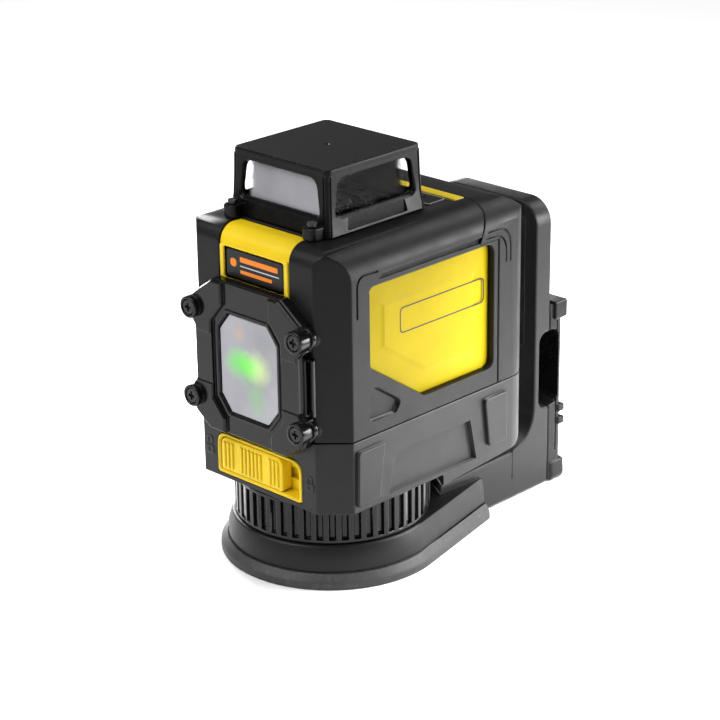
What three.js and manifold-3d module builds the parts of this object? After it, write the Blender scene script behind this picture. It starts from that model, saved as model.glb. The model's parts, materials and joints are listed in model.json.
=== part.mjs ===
// Rotating line laser level on a magnetic L-bracket, in millimetres, +Z up.
// The design frame has the swivel axis on Z and the ground at z = 0; the front window faces -Y.
// The exported group shifts it along Y, so that its origin is the middle of the footprint.
import * as THREE from "three";
import { mergeVertices } from "three/addons/utils/BufferGeometryUtils.js";
import Module from "manifold-3d";

const wasm = await Module();
wasm.setup();

// ---------------------------------------------------------------- driving dimensions

const gap = 0.3; // between pieces that touch
const body = {
  halfWidth: 40, front: -38, rear: 70, bottom: 33.2, belly: 28.5, bellyFront: 15, bellyRear: 32.6, top: 134,
  parting: 61.5, wall: 3.2, cornerX: 10, cornerY: 9.2, shoulder: 12, frontTop: 7, rearTop: 18, rearSide: 12,
  rearBottom: 12,
};
const ring = { radius: 37.5, bottom: 16.4, wall: 5.5, web: 3, ribs: 50, ribShare: 0.42, ribDepth: 1.7, lip: 1.3 };
const sole = { flange: 3, edge: 3, top: 6, floor: 2.3, taper: 12.5, end: 55.5, hole: 13 };
const base = { flare: 2.8, shoulderZ: 10, topFlare: 1.1, ringGap: 0.4, ringRoom: 4.5, bodyRoom: 6.8 };
const arm = { halfWidth: 26.5, top: 21, bottom: 0.8, bend: 15 };
const upright = { clear: 18, thickness: 9, top: 121, corner: 10 };
const wallBlock = { thickness: 9, top: 77, chamfer: 3.5, sideInset: 0.3, skin: 3 };
const slot = { bottom: 34, top: 66, inset: 3, corner: 4 };
const magnet = { radius: 4.5, proud: 2.6, sink: 1.8, x: 17, low: 24, high: 70.2 };
const bracketScrew = { head: 2.8, shank: 1.5, headHeight: 1.8, length: 14, x: 17, z: 12 };
const pivot = { insert: 6, flange: 9, flangeHeight: 1.6, thread: 3.2, post: 5, play: 0.15, screw: 2, head: 7 };
const hub = { radius: 14, floorTop: 22.2, top: 27, cavity: 8, flange: 2.3, stud: 3 };
const socket = { radius: 9, height: 5, bore: 3.3, boss: 12.5 };
const tray = { halfWidth: 22.3, bottom: 35.4, top: 51.7, corner: 5, depth: 6.4, rim: 1.3, slotHeight: 4.4 };
const thumb = { endPlay: 0.8, width: 32.6, travel: 8.2, ribs: 11, ribDepth: 0.9 };
const lock = { lift: 2, tongue: 10, ramp: 16, padRadius: 11, reach: -26, padTop: 40.6 };
const bezel = {
  halfWidth: 27.3, lugReach: 2, top: 114.5, bottom: 54.5, plate: 3.7, pad: 1.6, step: 0.6, channel: 12.5,
  flare: 19.5, slope: 2, midTop: 93, midBottom: 73,
};
const windowHole = { halfWidth: 15.2, bottom: 63.5, top: 102.5, cornerX: 5.2, cornerZ: 6.5, ledge: 2.2, glass: 1.5 };
const boss = { x: 27.5, low: 66.6, high: 101.6, radius: 4.3, front: -46 };
const screw = { head: 2.7, headHeight: 1.4, shank: 1.3, length: 11, cross: 0.55, crossLength: 3.4 };
const badge = { front: -19.4, rear: 46.8, top: 118, bottom: 69, waist: 88, point: 9, sunk: 2.2, plate: 2, lip: 1.6 };
const label = { halfWidth: 17.8, bottom: 111.6, rear: -27, sunk: 0.6, depth: 2.2 };
const trim = { halfWidth: 27, front: 39.8, rear: 44.8, depth: 1.4, proud: 0.2 };
const keypad = { halfWidth: 24, front: 28.6, rear: 39.2, depth: 1.1, proud: 0.1 };
const button = { halfX: 5, halfY: 3, x: 10, y: 33.9, proud: 0.9, lip: 1, lipTop: 4, foot: 5.2 };
const cage = {
  bottomHalf: 25.8, topHalf: 24.2, height: 25, cap: 2, corner: 3.2, wall: 2.8, floor: 1.8, floorHole: 14.5,
  sill: 7.2, head: 21, openBottom: 20, openTop: 18.4, openCorner: 2.6,
};
const lug = { x: 20.4, width: 6.2, front: -31, height: 4.6, screw: 1.9 };
const pane = { thickness: 1.5, halfWidth: 18.8, bottom: 4.5, top: 21.2 };
const gimbal = {
  z: 112, ringInner: 17.5, ringOuter: 21.5, height: 6, pin: 1.5, pinPlay: 0.35, outerPin: 28.2, frameHalfX: 31,
  frameHalfY: 26, frameHeight: 9, opening: 23.5, post: 3, postX: 26.5, postY: 21.5, bearing: 3.2, bearingWidth: 3,
};
const pendulum = {
  tube: 12.5, tubeTop: 121.5, stem: 9, weight: 13, weightTop: 64, foot: 46, footRadius: 8, footTop: 50,
  magnetRadius: 6, magnetLength: 3, magnetZ: 56,
};
const laser = { barrel: 9, barrelRise: 3, front: 83, tube: 8.6, tubeWall: 1.3, tubeLength: 11.5, cap: 9.2, capLength: 2.8 };
const frontLaser = { barrelEnd: -22, tubeLength: 7.4, capLength: 2.4 };
const damper = { clear: 7.6, thickness: 1.5, halfX: 12, top: 68 };
const board = { y: 37, thickness: 1.6, halfX: 31, top: 112 };
const battery = { halfX: 19.5, thickness: 20, rearRoom: 7.5, bottom: 40, top: 109, corner: 6 };
const door = { halfWidth: 21.7, bottom: 44, top: 95, sunk: 0.3, lipWidth: 2.3, lip: 2, plate: 3.2 };
const seam = { topFront: 45.2, topKnee: 131, low: 39.5, lowZ: 119.8, mid: 50 };

const baseRadius = ring.radius + base.flare;
const soleRadius = baseRadius + sole.flange;
const uprightFront = body.rear + upright.clear;
const uprightRear = uprightFront + upright.thickness;
const slotFront = uprightFront + slot.inset;
const lugHalf = boss.x + bezel.lugReach;
const cageTop = body.top + cage.height;
const laserTop = body.top + laser.barrelRise;
const thumbLeft = -(tray.halfWidth - tray.rim) + thumb.endPlay;
const thumbCorner = tray.corner - tray.rim - gap;
const damperFront = pendulum.weight + damper.clear;

// ---------------------------------------------------------------- solids from three.js geometry

const X = new THREE.Vector3(1, 0, 0);
const Y = new THREE.Vector3(0, 1, 0);
const Z = new THREE.Vector3(0, 0, 1);
const crosswise = new THREE.Matrix4().makeBasis(Y, Z, X); // a (y, z) outline, extruded along +X
const lengthwise = new THREE.Matrix4().makeBasis(X, Z, Y.clone().negate()); // an (x, z) outline, along -Y

// A closed three.js geometry as a manifold-3d solid.
function solid(geometry) {
  const bare = geometry.clone();
  bare.deleteAttribute("normal");
  bare.deleteAttribute("uv");
  const merged = mergeVertices(bare, 1e-4);
  const made = new wasm.Manifold(
    new wasm.Mesh({
      numProp: 3,
      vertProperties: merged.attributes.position.array,
      triVerts: new Uint32Array(merged.index.array),
    }),
  );
  if (made.volume() <= 0) throw new Error("a solid faces inwards or is empty");
  return made;
}

// A polygon whose corners are [x, y] or [x, y, radius], with each radius drawn as an arc.
function outline(corners, steps = 6) {
  const points = [];
  corners.forEach(([x, y, radius = 0], i) => {
    const here = new THREE.Vector2(x, y);
    const before = corners.at(i - 1);
    const after = corners[(i + 1) % corners.length];
    const toBefore = new THREE.Vector2(before[0] - x, before[1] - y).normalize();
    const toAfter = new THREE.Vector2(after[0] - x, after[1] - y).normalize();
    const half = Math.acos(THREE.MathUtils.clamp(toBefore.dot(toAfter), -1, 1)) / 2;
    if (radius <= 0) return points.push(here);
    const centre = toBefore.clone().add(toAfter).normalize().multiplyScalar(radius / Math.sin(half)).add(here);
    const start = toBefore.multiplyScalar(radius / Math.tan(half)).add(here).sub(centre);
    const end = toAfter.multiplyScalar(radius / Math.tan(half)).add(here).sub(centre);
    const turn = Math.atan2(start.cross(end), start.dot(end));
    for (let s = 0; s <= steps; s++)
      points.push(start.clone().rotateAround(new THREE.Vector2(), (turn * s) / steps).add(centre));
  });
  return points;
}

const mirrored = (corners) => [
  ...corners,
  ...corners.filter(([x]) => x !== 0).reverse().map(([x, ...rest]) => [-x, ...rest]),
];

// Outlines with the same number of points, each at its level, joined into one closed solid.
function loft(sections, frame) {
  const count = sections[0].points.length;
  const turned = THREE.ShapeUtils.isClockWise(sections[0].points);
  const rings = sections.map(({ points, level }) =>
    (turned ? [...points].reverse() : points).map((p) => new THREE.Vector3(p.x, p.y, level)),
  );
  const lid = THREE.ShapeUtils.triangulateShape(turned ? [...sections[0].points].reverse() : sections[0].points, []);
  const index = lid.flatMap(([a, b, c]) => [a, c, b]);
  lid.forEach(([a, b, c]) => index.push(...[a, b, c].map((i) => i + (rings.length - 1) * count)));
  for (let k = 0; k + 1 < rings.length; k++)
    for (let i = 0; i < count; i++) {
      const [a, b] = [k * count + i, k * count + ((i + 1) % count)];
      index.push(a, b, b + count, a, b + count, a + count);
    }
  const geometry = new THREE.BufferGeometry().setFromPoints(rings.flat()).setIndex(index);
  return solid(frame ? geometry.applyMatrix4(frame) : geometry);
}

const upwards = (points, low, high) =>
  loft([{ points, level: low }, { points, level: high }]);
const across = (points, low, high) =>
  loft([{ points, level: low }, { points, level: high }], crosswise);
const along = (points, low, high) =>
  loft([{ points, level: -high }, { points, level: -low }], lengthwise);

function block(low, high) {
  const size = high.map((v, i) => v - low[i]);
  return solid(new THREE.BoxGeometry(...size)).translate(low.map((v, i) => v + size[i] / 2));
}

// A cylinder about an axis, from low to high along it, with its centre line at (u, v) on the other two axes.
function rod(axis, radius, low, high, u = 0, v = 0, segments = 32) {
  const geometry = new THREE.CylinderGeometry(radius, radius, high - low, segments);
  const middle = (low + high) / 2;
  if (axis === "x") return solid(geometry.rotateZ(-Math.PI / 2)).translate([middle, u, v]);
  if (axis === "y") return solid(geometry).translate([u, middle, v]);
  return solid(geometry.rotateX(Math.PI / 2)).translate([u, v, middle]);
}

// A turned part about Z from its (radius, z) profile, which runs upwards on its outer side.
function turned(profile, segments = 48) {
  const points = profile.map(([r, z]) => new THREE.Vector2(r, z));
  return solid(new THREE.LatheGeometry(points, segments).rotateX(Math.PI / 2));
}

const joined = (...solids) => solids.reduce((all, next) => all.add(next));
const cut = (from, ...tools) => tools.reduce((rest, tool) => rest.subtract(tool), from);
const bothSides = (make) => joined(make(1), make(-1));

// ---------------------------------------------------------------- materials and the group

const material = (color, roughness, metalness = 0) => new THREE.MeshStandardMaterial({ color, roughness, metalness });
const blackPlastic = material(0x141416, 0.5);
const greyPlastic = material(0x2b2c2e, 0.7);
const bracketPlastic = material(0x1d1e20, 0.6);
const yellowPlastic = material(0xf2c70c, 0.45);
const rubber = material(0x17181a, 0.85);
const clearGlass = new THREE.MeshStandardMaterial({ color: 0xdfe6ea, roughness: 0.05, transparent: true, opacity: 0.35 });
const mirror = material(0xe8ebee, 0.05, 1);
const steel = material(0x8a8c90, 0.35, 1);
const blackSteel = material(0x1b1b1d, 0.4, 1);
const brass = material(0xb08d3c, 0.35, 1);
const aluminium = material(0xa9acb0, 0.4, 1);
const circuitGreen = material(0x17472d, 0.6);
const cellBlue = material(0x27415f, 0.5);

const level = new THREE.Group();

function piece(name, made, finish) {
  const { vertProperties, triVerts, numProp } = made.getMesh();
  const geometry = new THREE.BufferGeometry();
  geometry.setAttribute("position", new THREE.BufferAttribute(new Float32Array(vertProperties), numProp));
  geometry.setIndex(new THREE.BufferAttribute(new Uint32Array(triVerts), 1));
  geometry.computeVertexNormals();
  const mesh = new THREE.Mesh(geometry, finish);
  mesh.name = name;
  level.add(mesh);
}

// ---------------------------------------------------------------- shared shapes

// The instrument's outer form, drawn in from its faces by a distance.
function bodyForm(inset = 0) {
  const { halfWidth, front, rear, top } = body;
  const w = halfWidth - inset;
  const plan = mirrored([
    [w - body.cornerX + inset * 0.4, front + inset],
    [w, front + body.cornerY + inset * 0.6],
    [w, rear - inset, Math.max(body.rearSide - inset, 1)],
  ]);
  const face = mirrored([
    [w, body.belly - 1],
    [w, top - inset, Math.max(body.shoulder - inset, 1)],
  ]);
  const floor = inset > 0 ? [[front, body.bottom + inset], [rear, body.bottom + inset, body.rearBottom]] : [
    [front, body.bottom],
    [body.bellyFront, body.bottom],
    [body.bellyFront, body.belly],
    [rear, body.bellyRear, body.rearBottom],
  ];
  const profile = [
    ...floor.map(([y, z, r = 0]) => [Math.min(Math.max(y, front + inset), rear - inset), z, r]),
    [rear - inset, top - inset, Math.max(body.rearTop - inset, 1)],
    [front + inset, top - inset, Math.max(body.frontTop - inset, 1)],
  ];
  return upwards(outline(plan), body.belly - 2, top + 2)
    .intersect(along(outline(face), front - 1, rear + 1))
    .intersect(across(outline(profile, 8), -halfWidth - 1, halfWidth + 1));
}

const outerForm = bodyForm();
const innerForm = bodyForm(body.wall);
const shellForm = cut(outerForm, innerForm, rod("z", ring.radius + base.bodyRoom, body.belly - 2, body.bottom, 0, 0, 64));
const below = (z) => block([-99, -99, -9], [99, 199, z]);
const above = (z) => block([-99, -99, z], [99, 199, 199]);

// Everything behind the rear cover's seam, moved forwards by a distance.
const behindSeam = (forward = 0) =>
  across(
    outline([
      [seam.topFront - forward, body.top + 9],
      [seam.topFront - forward, seam.topKnee],
      [seam.low - forward, seam.lowZ],
      [seam.low - forward, badge.top + gap + 1.2 - forward],
      [seam.mid - forward, badge.top + gap + 1.2 - forward],
      [seam.mid - forward, body.parting - 9],
      [body.rear + 9, body.parting - 9],
      [body.rear + 9, body.top + 9],
    ]),
    -99,
    99,
  );

const badgeOutline = (grow) =>
  outline([
    [badge.front - grow, badge.top + grow, 2.5],
    [badge.front - grow, badge.waist - grow / 2, 2.5],
    [badge.point, badge.bottom - grow, 2.5],
    [badge.rear + grow, badge.bottom - grow, 3.5],
    [badge.rear + grow, badge.top + grow, 3.5],
  ], 4);

const windowOutline = (grow) => {
  const w = windowHole.halfWidth + grow;
  return outline(mirrored([
    [w - windowHole.cornerX, windowHole.top + grow],
    [w, windowHole.top + grow - windowHole.cornerZ],
    [w, windowHole.bottom - grow + windowHole.cornerZ],
    [w - windowHole.cornerX, windowHole.bottom - grow],
  ]));
};

const bossPlaces = [[boss.x, boss.high], [-boss.x, boss.high], [boss.x, boss.low], [-boss.x, boss.low]];

// ---------------------------------------------------------------- bracket: sole, base, arm and upright

// Circle and tangents that taper towards the arm, ending square at a distance behind the axis.
function teardrop(radius, end, steps = 40) {
  const taper = THREE.MathUtils.degToRad(sole.taper);
  const points = [];
  for (let i = 0; i <= steps; i++) {
    const angle = Math.PI - taper + ((Math.PI + 2 * taper) * i) / steps;
    points.push(new THREE.Vector2(radius * Math.cos(angle), radius * Math.sin(angle)));
  }
  const run = end - radius * Math.sin(taper);
  const x = radius * Math.cos(taper) - run * Math.tan(taper);
  return [...points, new THREE.Vector2(x, end), new THREE.Vector2(-x, end)];
}

function baseSole() {
  const rise = sole.top - sole.edge;
  const rim = loft([
    { points: teardrop(soleRadius, sole.end), level: 0 },
    { points: teardrop(soleRadius, sole.end), level: sole.edge },
    { points: teardrop(soleRadius - rise * 0.8, sole.end), level: sole.top },
  ]);
  return cut(
    rim,
    upwards(teardrop(baseRadius + gap, sole.end + 9), sole.floor, sole.top + 1),
    block([-arm.halfWidth - gap, baseRadius * 0.7, sole.floor], [arm.halfWidth + gap, sole.end + 9, sole.top + 1]),
    rod("z", sole.hole, -1, sole.top),
  );
}

const frameFloor = sole.floor + gap;
const collarTop = ring.bottom - base.ringGap;
const armSide = [
  [baseRadius * 0.7, frameFloor],
  [sole.end + 1, frameFloor],
  [sole.end + 1, arm.bottom],
  [uprightRear, arm.bottom],
  [uprightRear, upright.top],
  [uprightFront, upright.top],
  [uprightFront, arm.top, arm.bend],
  [baseRadius * 0.7, arm.top - 0.8],
];
const slotTool = across(outline([
  [slotFront, slot.bottom, slot.corner],
  [uprightRear + wallBlock.thickness - wallBlock.skin, slot.bottom, slot.corner],
  [uprightRear + wallBlock.thickness - wallBlock.skin, slot.top, slot.corner],
  [slotFront, slot.top, slot.corner],
], 4), -99, 99);

function bracketFrame() {
  const drum = loft([
    { points: teardrop(baseRadius, sole.end), level: frameFloor },
    { points: teardrop(baseRadius, sole.end), level: base.shoulderZ },
    { points: teardrop(ring.radius + base.topFlare, sole.end), level: collarTop },
  ]);
  const spine = across(outline(armSide, 8), -arm.halfWidth, arm.halfWidth).intersect(
    along(
      outline(mirrored([[arm.halfWidth, -1], [arm.halfWidth, upright.top, upright.corner]]), 8),
      0,
      uprightRear + 1,
    ),
  );
  const ringRoom = rod("z", ring.radius + base.ringRoom, collarTop, arm.top + 9, 0, 0, 64);
  const bracketHoles = bothSides((side) =>
    rod("y", bracketScrew.shank + gap, uprightRear + wallBlock.thickness - bracketScrew.length - 1, uprightRear + 1,
      side * bracketScrew.x, bracketScrew.z, 16));
  return cut(
    joined(drum, spine.subtract(ringRoom)),
    slotTool,
    bracketHoles,
    rod("z", pivot.insert + gap, 0, collarTop + 1),
    rod("z", pivot.flange + gap, 0, frameFloor + pivot.flangeHeight + 2 * gap),
  );
}

const blockFront = uprightRear + gap;
const blockRear = uprightRear + wallBlock.thickness;

function wallPlate() {
  const half = arm.halfWidth - wallBlock.sideInset;
  const side = outline([
    [blockFront, arm.bottom],
    [blockRear, arm.bottom, 1],
    [blockRear, wallBlock.top - wallBlock.chamfer, 2],
    [blockFront + 1, wallBlock.top, 1],
    [blockFront, wallBlock.top],
  ], 3);
  const plan = outline([
    [-half, blockFront - 1],
    [half, blockFront - 1],
    [half, blockRear, 3],
    [-half, blockRear, 3],
  ], 4);
  const magnetPockets = bothSides((s) =>
    joined(
      rod("y", magnet.radius + gap, blockRear - magnet.sink, blockRear + 1, s * magnet.x, magnet.high, 24),
      rod("y", magnet.radius + gap, blockRear - magnet.sink, blockRear + 1, s * magnet.x, magnet.low, 24),
    ));
  const screwHoles = bothSides((s) =>
    joined(
      rod("y", bracketScrew.shank + gap, blockFront - 1, blockRear, s * bracketScrew.x, bracketScrew.z, 16),
      rod("y", bracketScrew.head + gap, blockRear - bracketScrew.headHeight - gap, blockRear + 1,
        s * bracketScrew.x, bracketScrew.z, 16),
    ));
  return cut(across(side, -half, half).intersect(upwards(plan, -1, wallBlock.top + 1)),
    slotTool, magnetPockets, screwHoles);
}

piece("base_sole", baseSole(), rubber);
piece("bracket_frame", bracketFrame(), bracketPlastic);
piece("wall_block", wallPlate(), blackPlastic);
[[1, magnet.high], [-1, magnet.high], [1, magnet.low], [-1, magnet.low]].forEach(([s, z], i) =>
  piece(
    `wall_magnet_${i + 1}`,
    rod("y", magnet.radius, blockRear - magnet.sink + gap, blockRear + magnet.proud, s * magnet.x, z, 24),
    steel,
  ));
[1, -1].forEach((s, i) => {
  const headLow = blockRear - bracketScrew.headHeight;
  piece(
    `bracket_screw_${i + 1}`,
    joined(
      rod("y", bracketScrew.head, headLow, blockRear - gap, s * bracketScrew.x, bracketScrew.z, 16),
      rod("y", bracketScrew.shank, blockRear - bracketScrew.length, headLow + 0.1, s * bracketScrew.x,
        bracketScrew.z, 16),
    ),
    blackSteel,
  );
});

// ---------------------------------------------------------------- swivel: post, hub, ribbed ring and stud

const postTop = hub.floorTop - gap;
const insertLow = frameFloor + gap;
piece(
  "tripod_insert",
  turned([
    [pivot.thread, insertLow],
    [pivot.flange, insertLow],
    [pivot.flange, insertLow + pivot.flangeHeight],
    [pivot.insert, insertLow + pivot.flangeHeight],
    [pivot.insert, collarTop],
    [pivot.post, collarTop],
    [pivot.post, postTop],
    [pivot.screw + gap, postTop],
    [pivot.screw + gap, collarTop - 3],
    [0, collarTop - 3],
    [0, collarTop - 5],
    [pivot.thread, collarTop - 5],
    [pivot.thread, insertLow],
  ]),
  brass,
);
piece(
  "pivot_screw",
  turned([
    [0, collarTop - 2],
    [pivot.screw, collarTop - 2],
    [pivot.screw, hub.floorTop + gap],
    [pivot.head, hub.floorTop + gap],
    [pivot.head, hub.top - 1.4],
    [0, hub.top - 1.4],
  ], 32),
  steel,
);
piece(
  "swivel_hub",
  turned([
    [pivot.post + pivot.play, ring.bottom],
    [hub.radius, ring.bottom],
    [hub.radius, hub.top],
    [hub.cavity, hub.top],
    [hub.cavity, hub.floorTop],
    [pivot.post + pivot.play, hub.floorTop],
    [pivot.post + pivot.play, ring.bottom],
  ]),
  aluminium,
);
piece(
  "mounting_stud",
  turned([
    [0, hub.top + gap],
    [hub.radius - 0.5, hub.top + gap],
    [hub.radius - 0.5, hub.top + gap + hub.flange],
    [hub.stud, hub.top + gap + hub.flange],
    [hub.stud, body.bottom + socket.height],
    [0, body.bottom + socket.height],
  ], 32),
  steel,
);

function swivelRing() {
  const top = body.bottom - base.ringGap;
  const points = [];
  for (let i = 0; i < ring.ribs; i++)
    [[0, 1], [ring.ribShare, 1], [ring.ribShare + 0.08, 0], [0.92, 0]].forEach(([share, out]) => {
      const angle = ((i + share) / ring.ribs) * 2 * Math.PI;
      const r = ring.radius - (1 - out) * ring.ribDepth;
      points.push(new THREE.Vector2(r * Math.cos(angle), r * Math.sin(angle)));
    });
  return cut(
    joined(
      upwards(points, ring.bottom + ring.lip, top - ring.lip),
      rod("z", ring.radius, ring.bottom, ring.bottom + ring.lip + 0.01, 0, 0, 96),
      rod("z", ring.radius, top - ring.lip - 0.01, top, 0, 0, 96),
    ),
    rod("z", ring.radius - ring.wall, ring.bottom + ring.web, top + 1, 0, 0, 48),
    rod("z", hub.radius + gap, ring.bottom - 1, ring.bottom + ring.web + 1, 0, 0, 48),
  );
}
piece("swivel_ring", swivelRing(), blackPlastic);

// ---------------------------------------------------------------- housing shells

const trayTool = (grow) =>
  along(
    outline(mirrored([
      [tray.halfWidth + grow, tray.bottom - grow, 1.2],
      [tray.halfWidth + grow, tray.top + grow, tray.corner],
    ]), 4),
    body.front - 1,
    body.front + tray.depth + grow,
  );
const doorTool = block(
  [-door.halfWidth - gap, body.rear - body.wall - 0.9, body.belly - 5],
  [door.halfWidth + gap, body.rear + 1, door.top + gap],
);
const frontPanel = (side, corners, out) => {
  const [from, to] = out > 0 ? [body.halfWidth - 1, body.halfWidth + out] : [body.halfWidth + out, body.halfWidth + 1];
  return across(outline(corners, 3), Math.min(side * from, side * to), Math.max(side * from, side * to));
};
const panelDepth = 0.7;
const frontPanelCorners = [[-27.3, 57.4, 1.5], [-27.7, 36, 1.5], [-16.6, 36, 0.6], [-13.5, 57.4, 0.6]];
const middlePanelCorners = [[-5.6, 51], [-7.4, 48.6], [-10.5, 34.8], [37.8, 34.2], [34.2, 51]];
const rearPanelCorners = [[41.4, 57.3, 1.5], [43.9, 37.5, 1.5], [54, 37.5], [54, 57.3]];
const cheekCorners = [[-18.3, 81, 2], [-20.3, 66.9, 2], [-6.5, 66.6, 2], [-3.6, 70.5, 2]];

function lowerShell() {
  const shell = shellForm.intersect(below(body.parting - gap / 2));
  const socketBoss = rod("z", socket.boss, body.bottom, body.bottom + socket.height, 0, 0, 40);
  const raised = bothSides((s) =>
    joined(frontPanel(s, frontPanelCorners, panelDepth), frontPanel(s, rearPanelCorners, panelDepth)));
  const sunk = bothSides((s) => frontPanel(s, middlePanelCorners, -panelDepth));
  return cut(
    joined(shell, socketBoss, raised.intersect(upwards(outline([[-99, -99], [99, -99], [99, 56], [-99, 56]]), 0, 99))),
    sunk,
    trayTool(gap),
    doorTool,
    rod("z", socket.radius + gap, body.bottom - 1, body.bottom + socket.height + 1, 0, 0, 40),
  );
}

function labelBand(outerInset, innerInset, grow) {
  return cut(bodyForm(outerInset), bodyForm(innerInset)).intersect(
    block([-label.halfWidth - grow, body.front - 9, label.bottom - grow], [label.halfWidth + grow, label.rear + grow, 199]),
  );
}

function upperShell() {
  const shell = shellForm.intersect(above(body.parting + gap / 2)).subtract(behindSeam(gap));
  const bosses = bossPlaces.map(([x, z]) =>
    rod("y", boss.radius, body.front, body.front + 9, x, z, 24));
  const screwHoles = bossPlaces.map(([x, z]) =>
    rod("y", screw.shank + gap, body.front - 1, body.front + 10, x, z, 12));
  const badgeHoles = across(badgeOutline(gap), -99, 99);
  const buttonHoles = bothSides((s) =>
    block([s * button.x - button.halfX - gap, button.y - button.halfY - gap, body.top - 9],
      [s * button.x + button.halfX + gap, button.y + button.halfY + gap, body.top + 9]));
  return cut(
    joined(shell, ...bosses),
    ...screwHoles,
    badgeHoles,
    buttonHoles,
    bothSides((s) => frontPanel(s, cheekCorners, -panelDepth)),
    along(windowOutline(windowHole.ledge), body.front - 1, body.front + body.wall + 1),
    rod("z", cage.floorHole + 2, body.top - 9, body.top + 9, 0, 0, 48),
    labelBand(-1, label.depth + gap, gap),
    block([-trim.halfWidth - gap, trim.front - gap, body.top - trim.depth - gap],
      [trim.halfWidth + gap, trim.rear + 9, body.top + 9]),
    block([-keypad.halfWidth - gap, keypad.front - gap, body.top - keypad.depth - gap],
      [keypad.halfWidth + gap, trim.front, body.top + 9]),
    ...[[1, -1], [-1, -1], [1, 1], [-1, 1]].map(([sx, sy]) =>
      rod("z", screw.shank + gap, body.top - 9, body.top + 9, sx * lug.x, sy > 0 ? cage.bottomHalf - 3.4 : lug.front + 2.8, 12)),
  );
}

piece("lower_shell", lowerShell(), greyPlastic);
piece("upper_shell", upperShell(), greyPlastic);
piece(
  "rear_cover",
  cut(shellForm.intersect(above(body.parting + gap / 2)).intersect(behindSeam()), doorTool,
    across(badgeOutline(gap), -99, 99)),
  greyPlastic,
);
piece(
  "battery_door",
  joined(
    block([-door.halfWidth, body.rear - door.sunk - door.plate, door.bottom],
      [door.halfWidth, body.rear - door.sunk, door.top]),
    block([-door.halfWidth - door.lipWidth, body.rear - body.wall - 0.3 - door.lip, body.parting],
      [door.halfWidth + door.lipWidth, body.rear - body.wall - 0.3, door.top - 2]),
  ),
  greyPlastic,
);
piece("socket_insert",
  rod("z", socket.radius, body.bottom + gap, body.bottom + socket.height, 0, 0, 40).subtract(
    rod("z", socket.bore, body.bottom - 1, body.bottom + socket.height + 1, 0, 0, 24)),
  brass);

// ---------------------------------------------------------------- badges, label, trim and keypad

const badgeFace = body.halfWidth - badge.sunk;
const wallInside = body.halfWidth - body.wall;
[["side_badge_right", 1], ["side_badge_left", -1]].forEach(([name, side]) => {
  const face = across(badgeOutline(0), Math.min(side * (wallInside - gap - badge.plate), side * badgeFace),
    Math.max(side * (wallInside - gap - badge.plate), side * badgeFace));
  const flange = across(badgeOutline(badge.lip),
    Math.min(side * (wallInside - gap - badge.plate), side * (wallInside - gap)),
    Math.max(side * (wallInside - gap - badge.plate), side * (wallInside - gap)));
  piece(name, joined(face, flange), yellowPlastic);
});
piece("front_label", labelBand(label.sunk, label.depth, 0), yellowPlastic);
piece("top_trim",
  block([-trim.halfWidth, trim.front, body.top - trim.depth], [trim.halfWidth, trim.rear, body.top + trim.proud]),
  yellowPlastic);
piece("keypad_panel",
  cut(
    block([-keypad.halfWidth, keypad.front, body.top - keypad.depth],
      [keypad.halfWidth, keypad.rear, body.top + keypad.proud]),
    bothSides((s) => block([s * button.x - button.halfX - gap, button.y - button.halfY - gap, body.top - 9],
      [s * button.x + button.halfX + gap, button.y + button.halfY + gap, body.top + 9])),
  ),
  blackPlastic);
[["line_button_left", -1], ["line_button_right", 1]].forEach(([name, s]) =>
  piece(name,
    joined(
      block([s * button.x - button.halfX, button.y - button.halfY, body.top - button.foot],
        [s * button.x + button.halfX, button.y + button.halfY, body.top + button.proud]),
      block([s * button.x - button.halfX - button.lip, button.y - button.halfY - button.lip, body.top - button.foot],
        [s * button.x + button.halfX + button.lip, button.y + button.halfY + button.lip, body.top - button.lipTop]),
    ),
    rubber));

// ---------------------------------------------------------------- front window

const plateRear = body.front - gap;
const plateFront = plateRear - bezel.plate;
const padFront = plateFront - bezel.pad;
const bezelOutline = (grow) =>
  mirrored([
    [17.5, bezel.top + grow],
    [lugHalf - 1.5 + grow, bezel.top - 7.5],
    [lugHalf + grow, bezel.top - 10],
    [lugHalf + grow, bezel.midTop + 4.2],
    [bezel.halfWidth + grow, bezel.midTop + 1.5],
    [bezel.halfWidth + grow, bezel.midBottom + 0.5],
    [lugHalf + grow, bezel.midBottom - 2.2],
    [lugHalf + grow, bezel.bottom + 9],
    [lugHalf - 1.5 + grow, bezel.bottom + 5.5],
    [20, bezel.bottom - grow],
  ]);

function padSide(side) {
  const section = (inward) =>
    outline([
      [side * bezel.channel + side * inward, bezel.top - 0.4],
      [side * (bezel.channel + inward), windowHole.top + 3],
      [side * (bezel.flare + inward), windowHole.top - 4],
      [side * (bezel.flare + inward), windowHole.bottom + 4],
      [side * (bezel.channel + inward), windowHole.bottom - 3],
      [side * (bezel.channel + inward), bezel.bottom + 0.4],
      [side * 20.2, bezel.bottom + 0.4],
      [side * (lugHalf - 1.9), bezel.bottom + 5.7],
      [side * (lugHalf - 0.4), bezel.bottom + 9],
      [side * (lugHalf - 0.4), bezel.midBottom - 2.2],
      [side * (bezel.halfWidth - 0.4), bezel.midBottom + 0.5],
      [side * (bezel.halfWidth - 0.4), bezel.midTop + 1.5],
      [side * (lugHalf - 0.4), bezel.midTop + 4.2],
      [side * (lugHalf - 0.4), bezel.top - 10],
      [side * (lugHalf - 1.9), bezel.top - 7.7],
      [side * 17.3, bezel.top - 0.4],
    ]);
  return loft([
    { points: section(0), level: -plateFront - 0.05 },
    { points: section(bezel.slope), level: -padFront },
  ], lengthwise);
}

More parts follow.
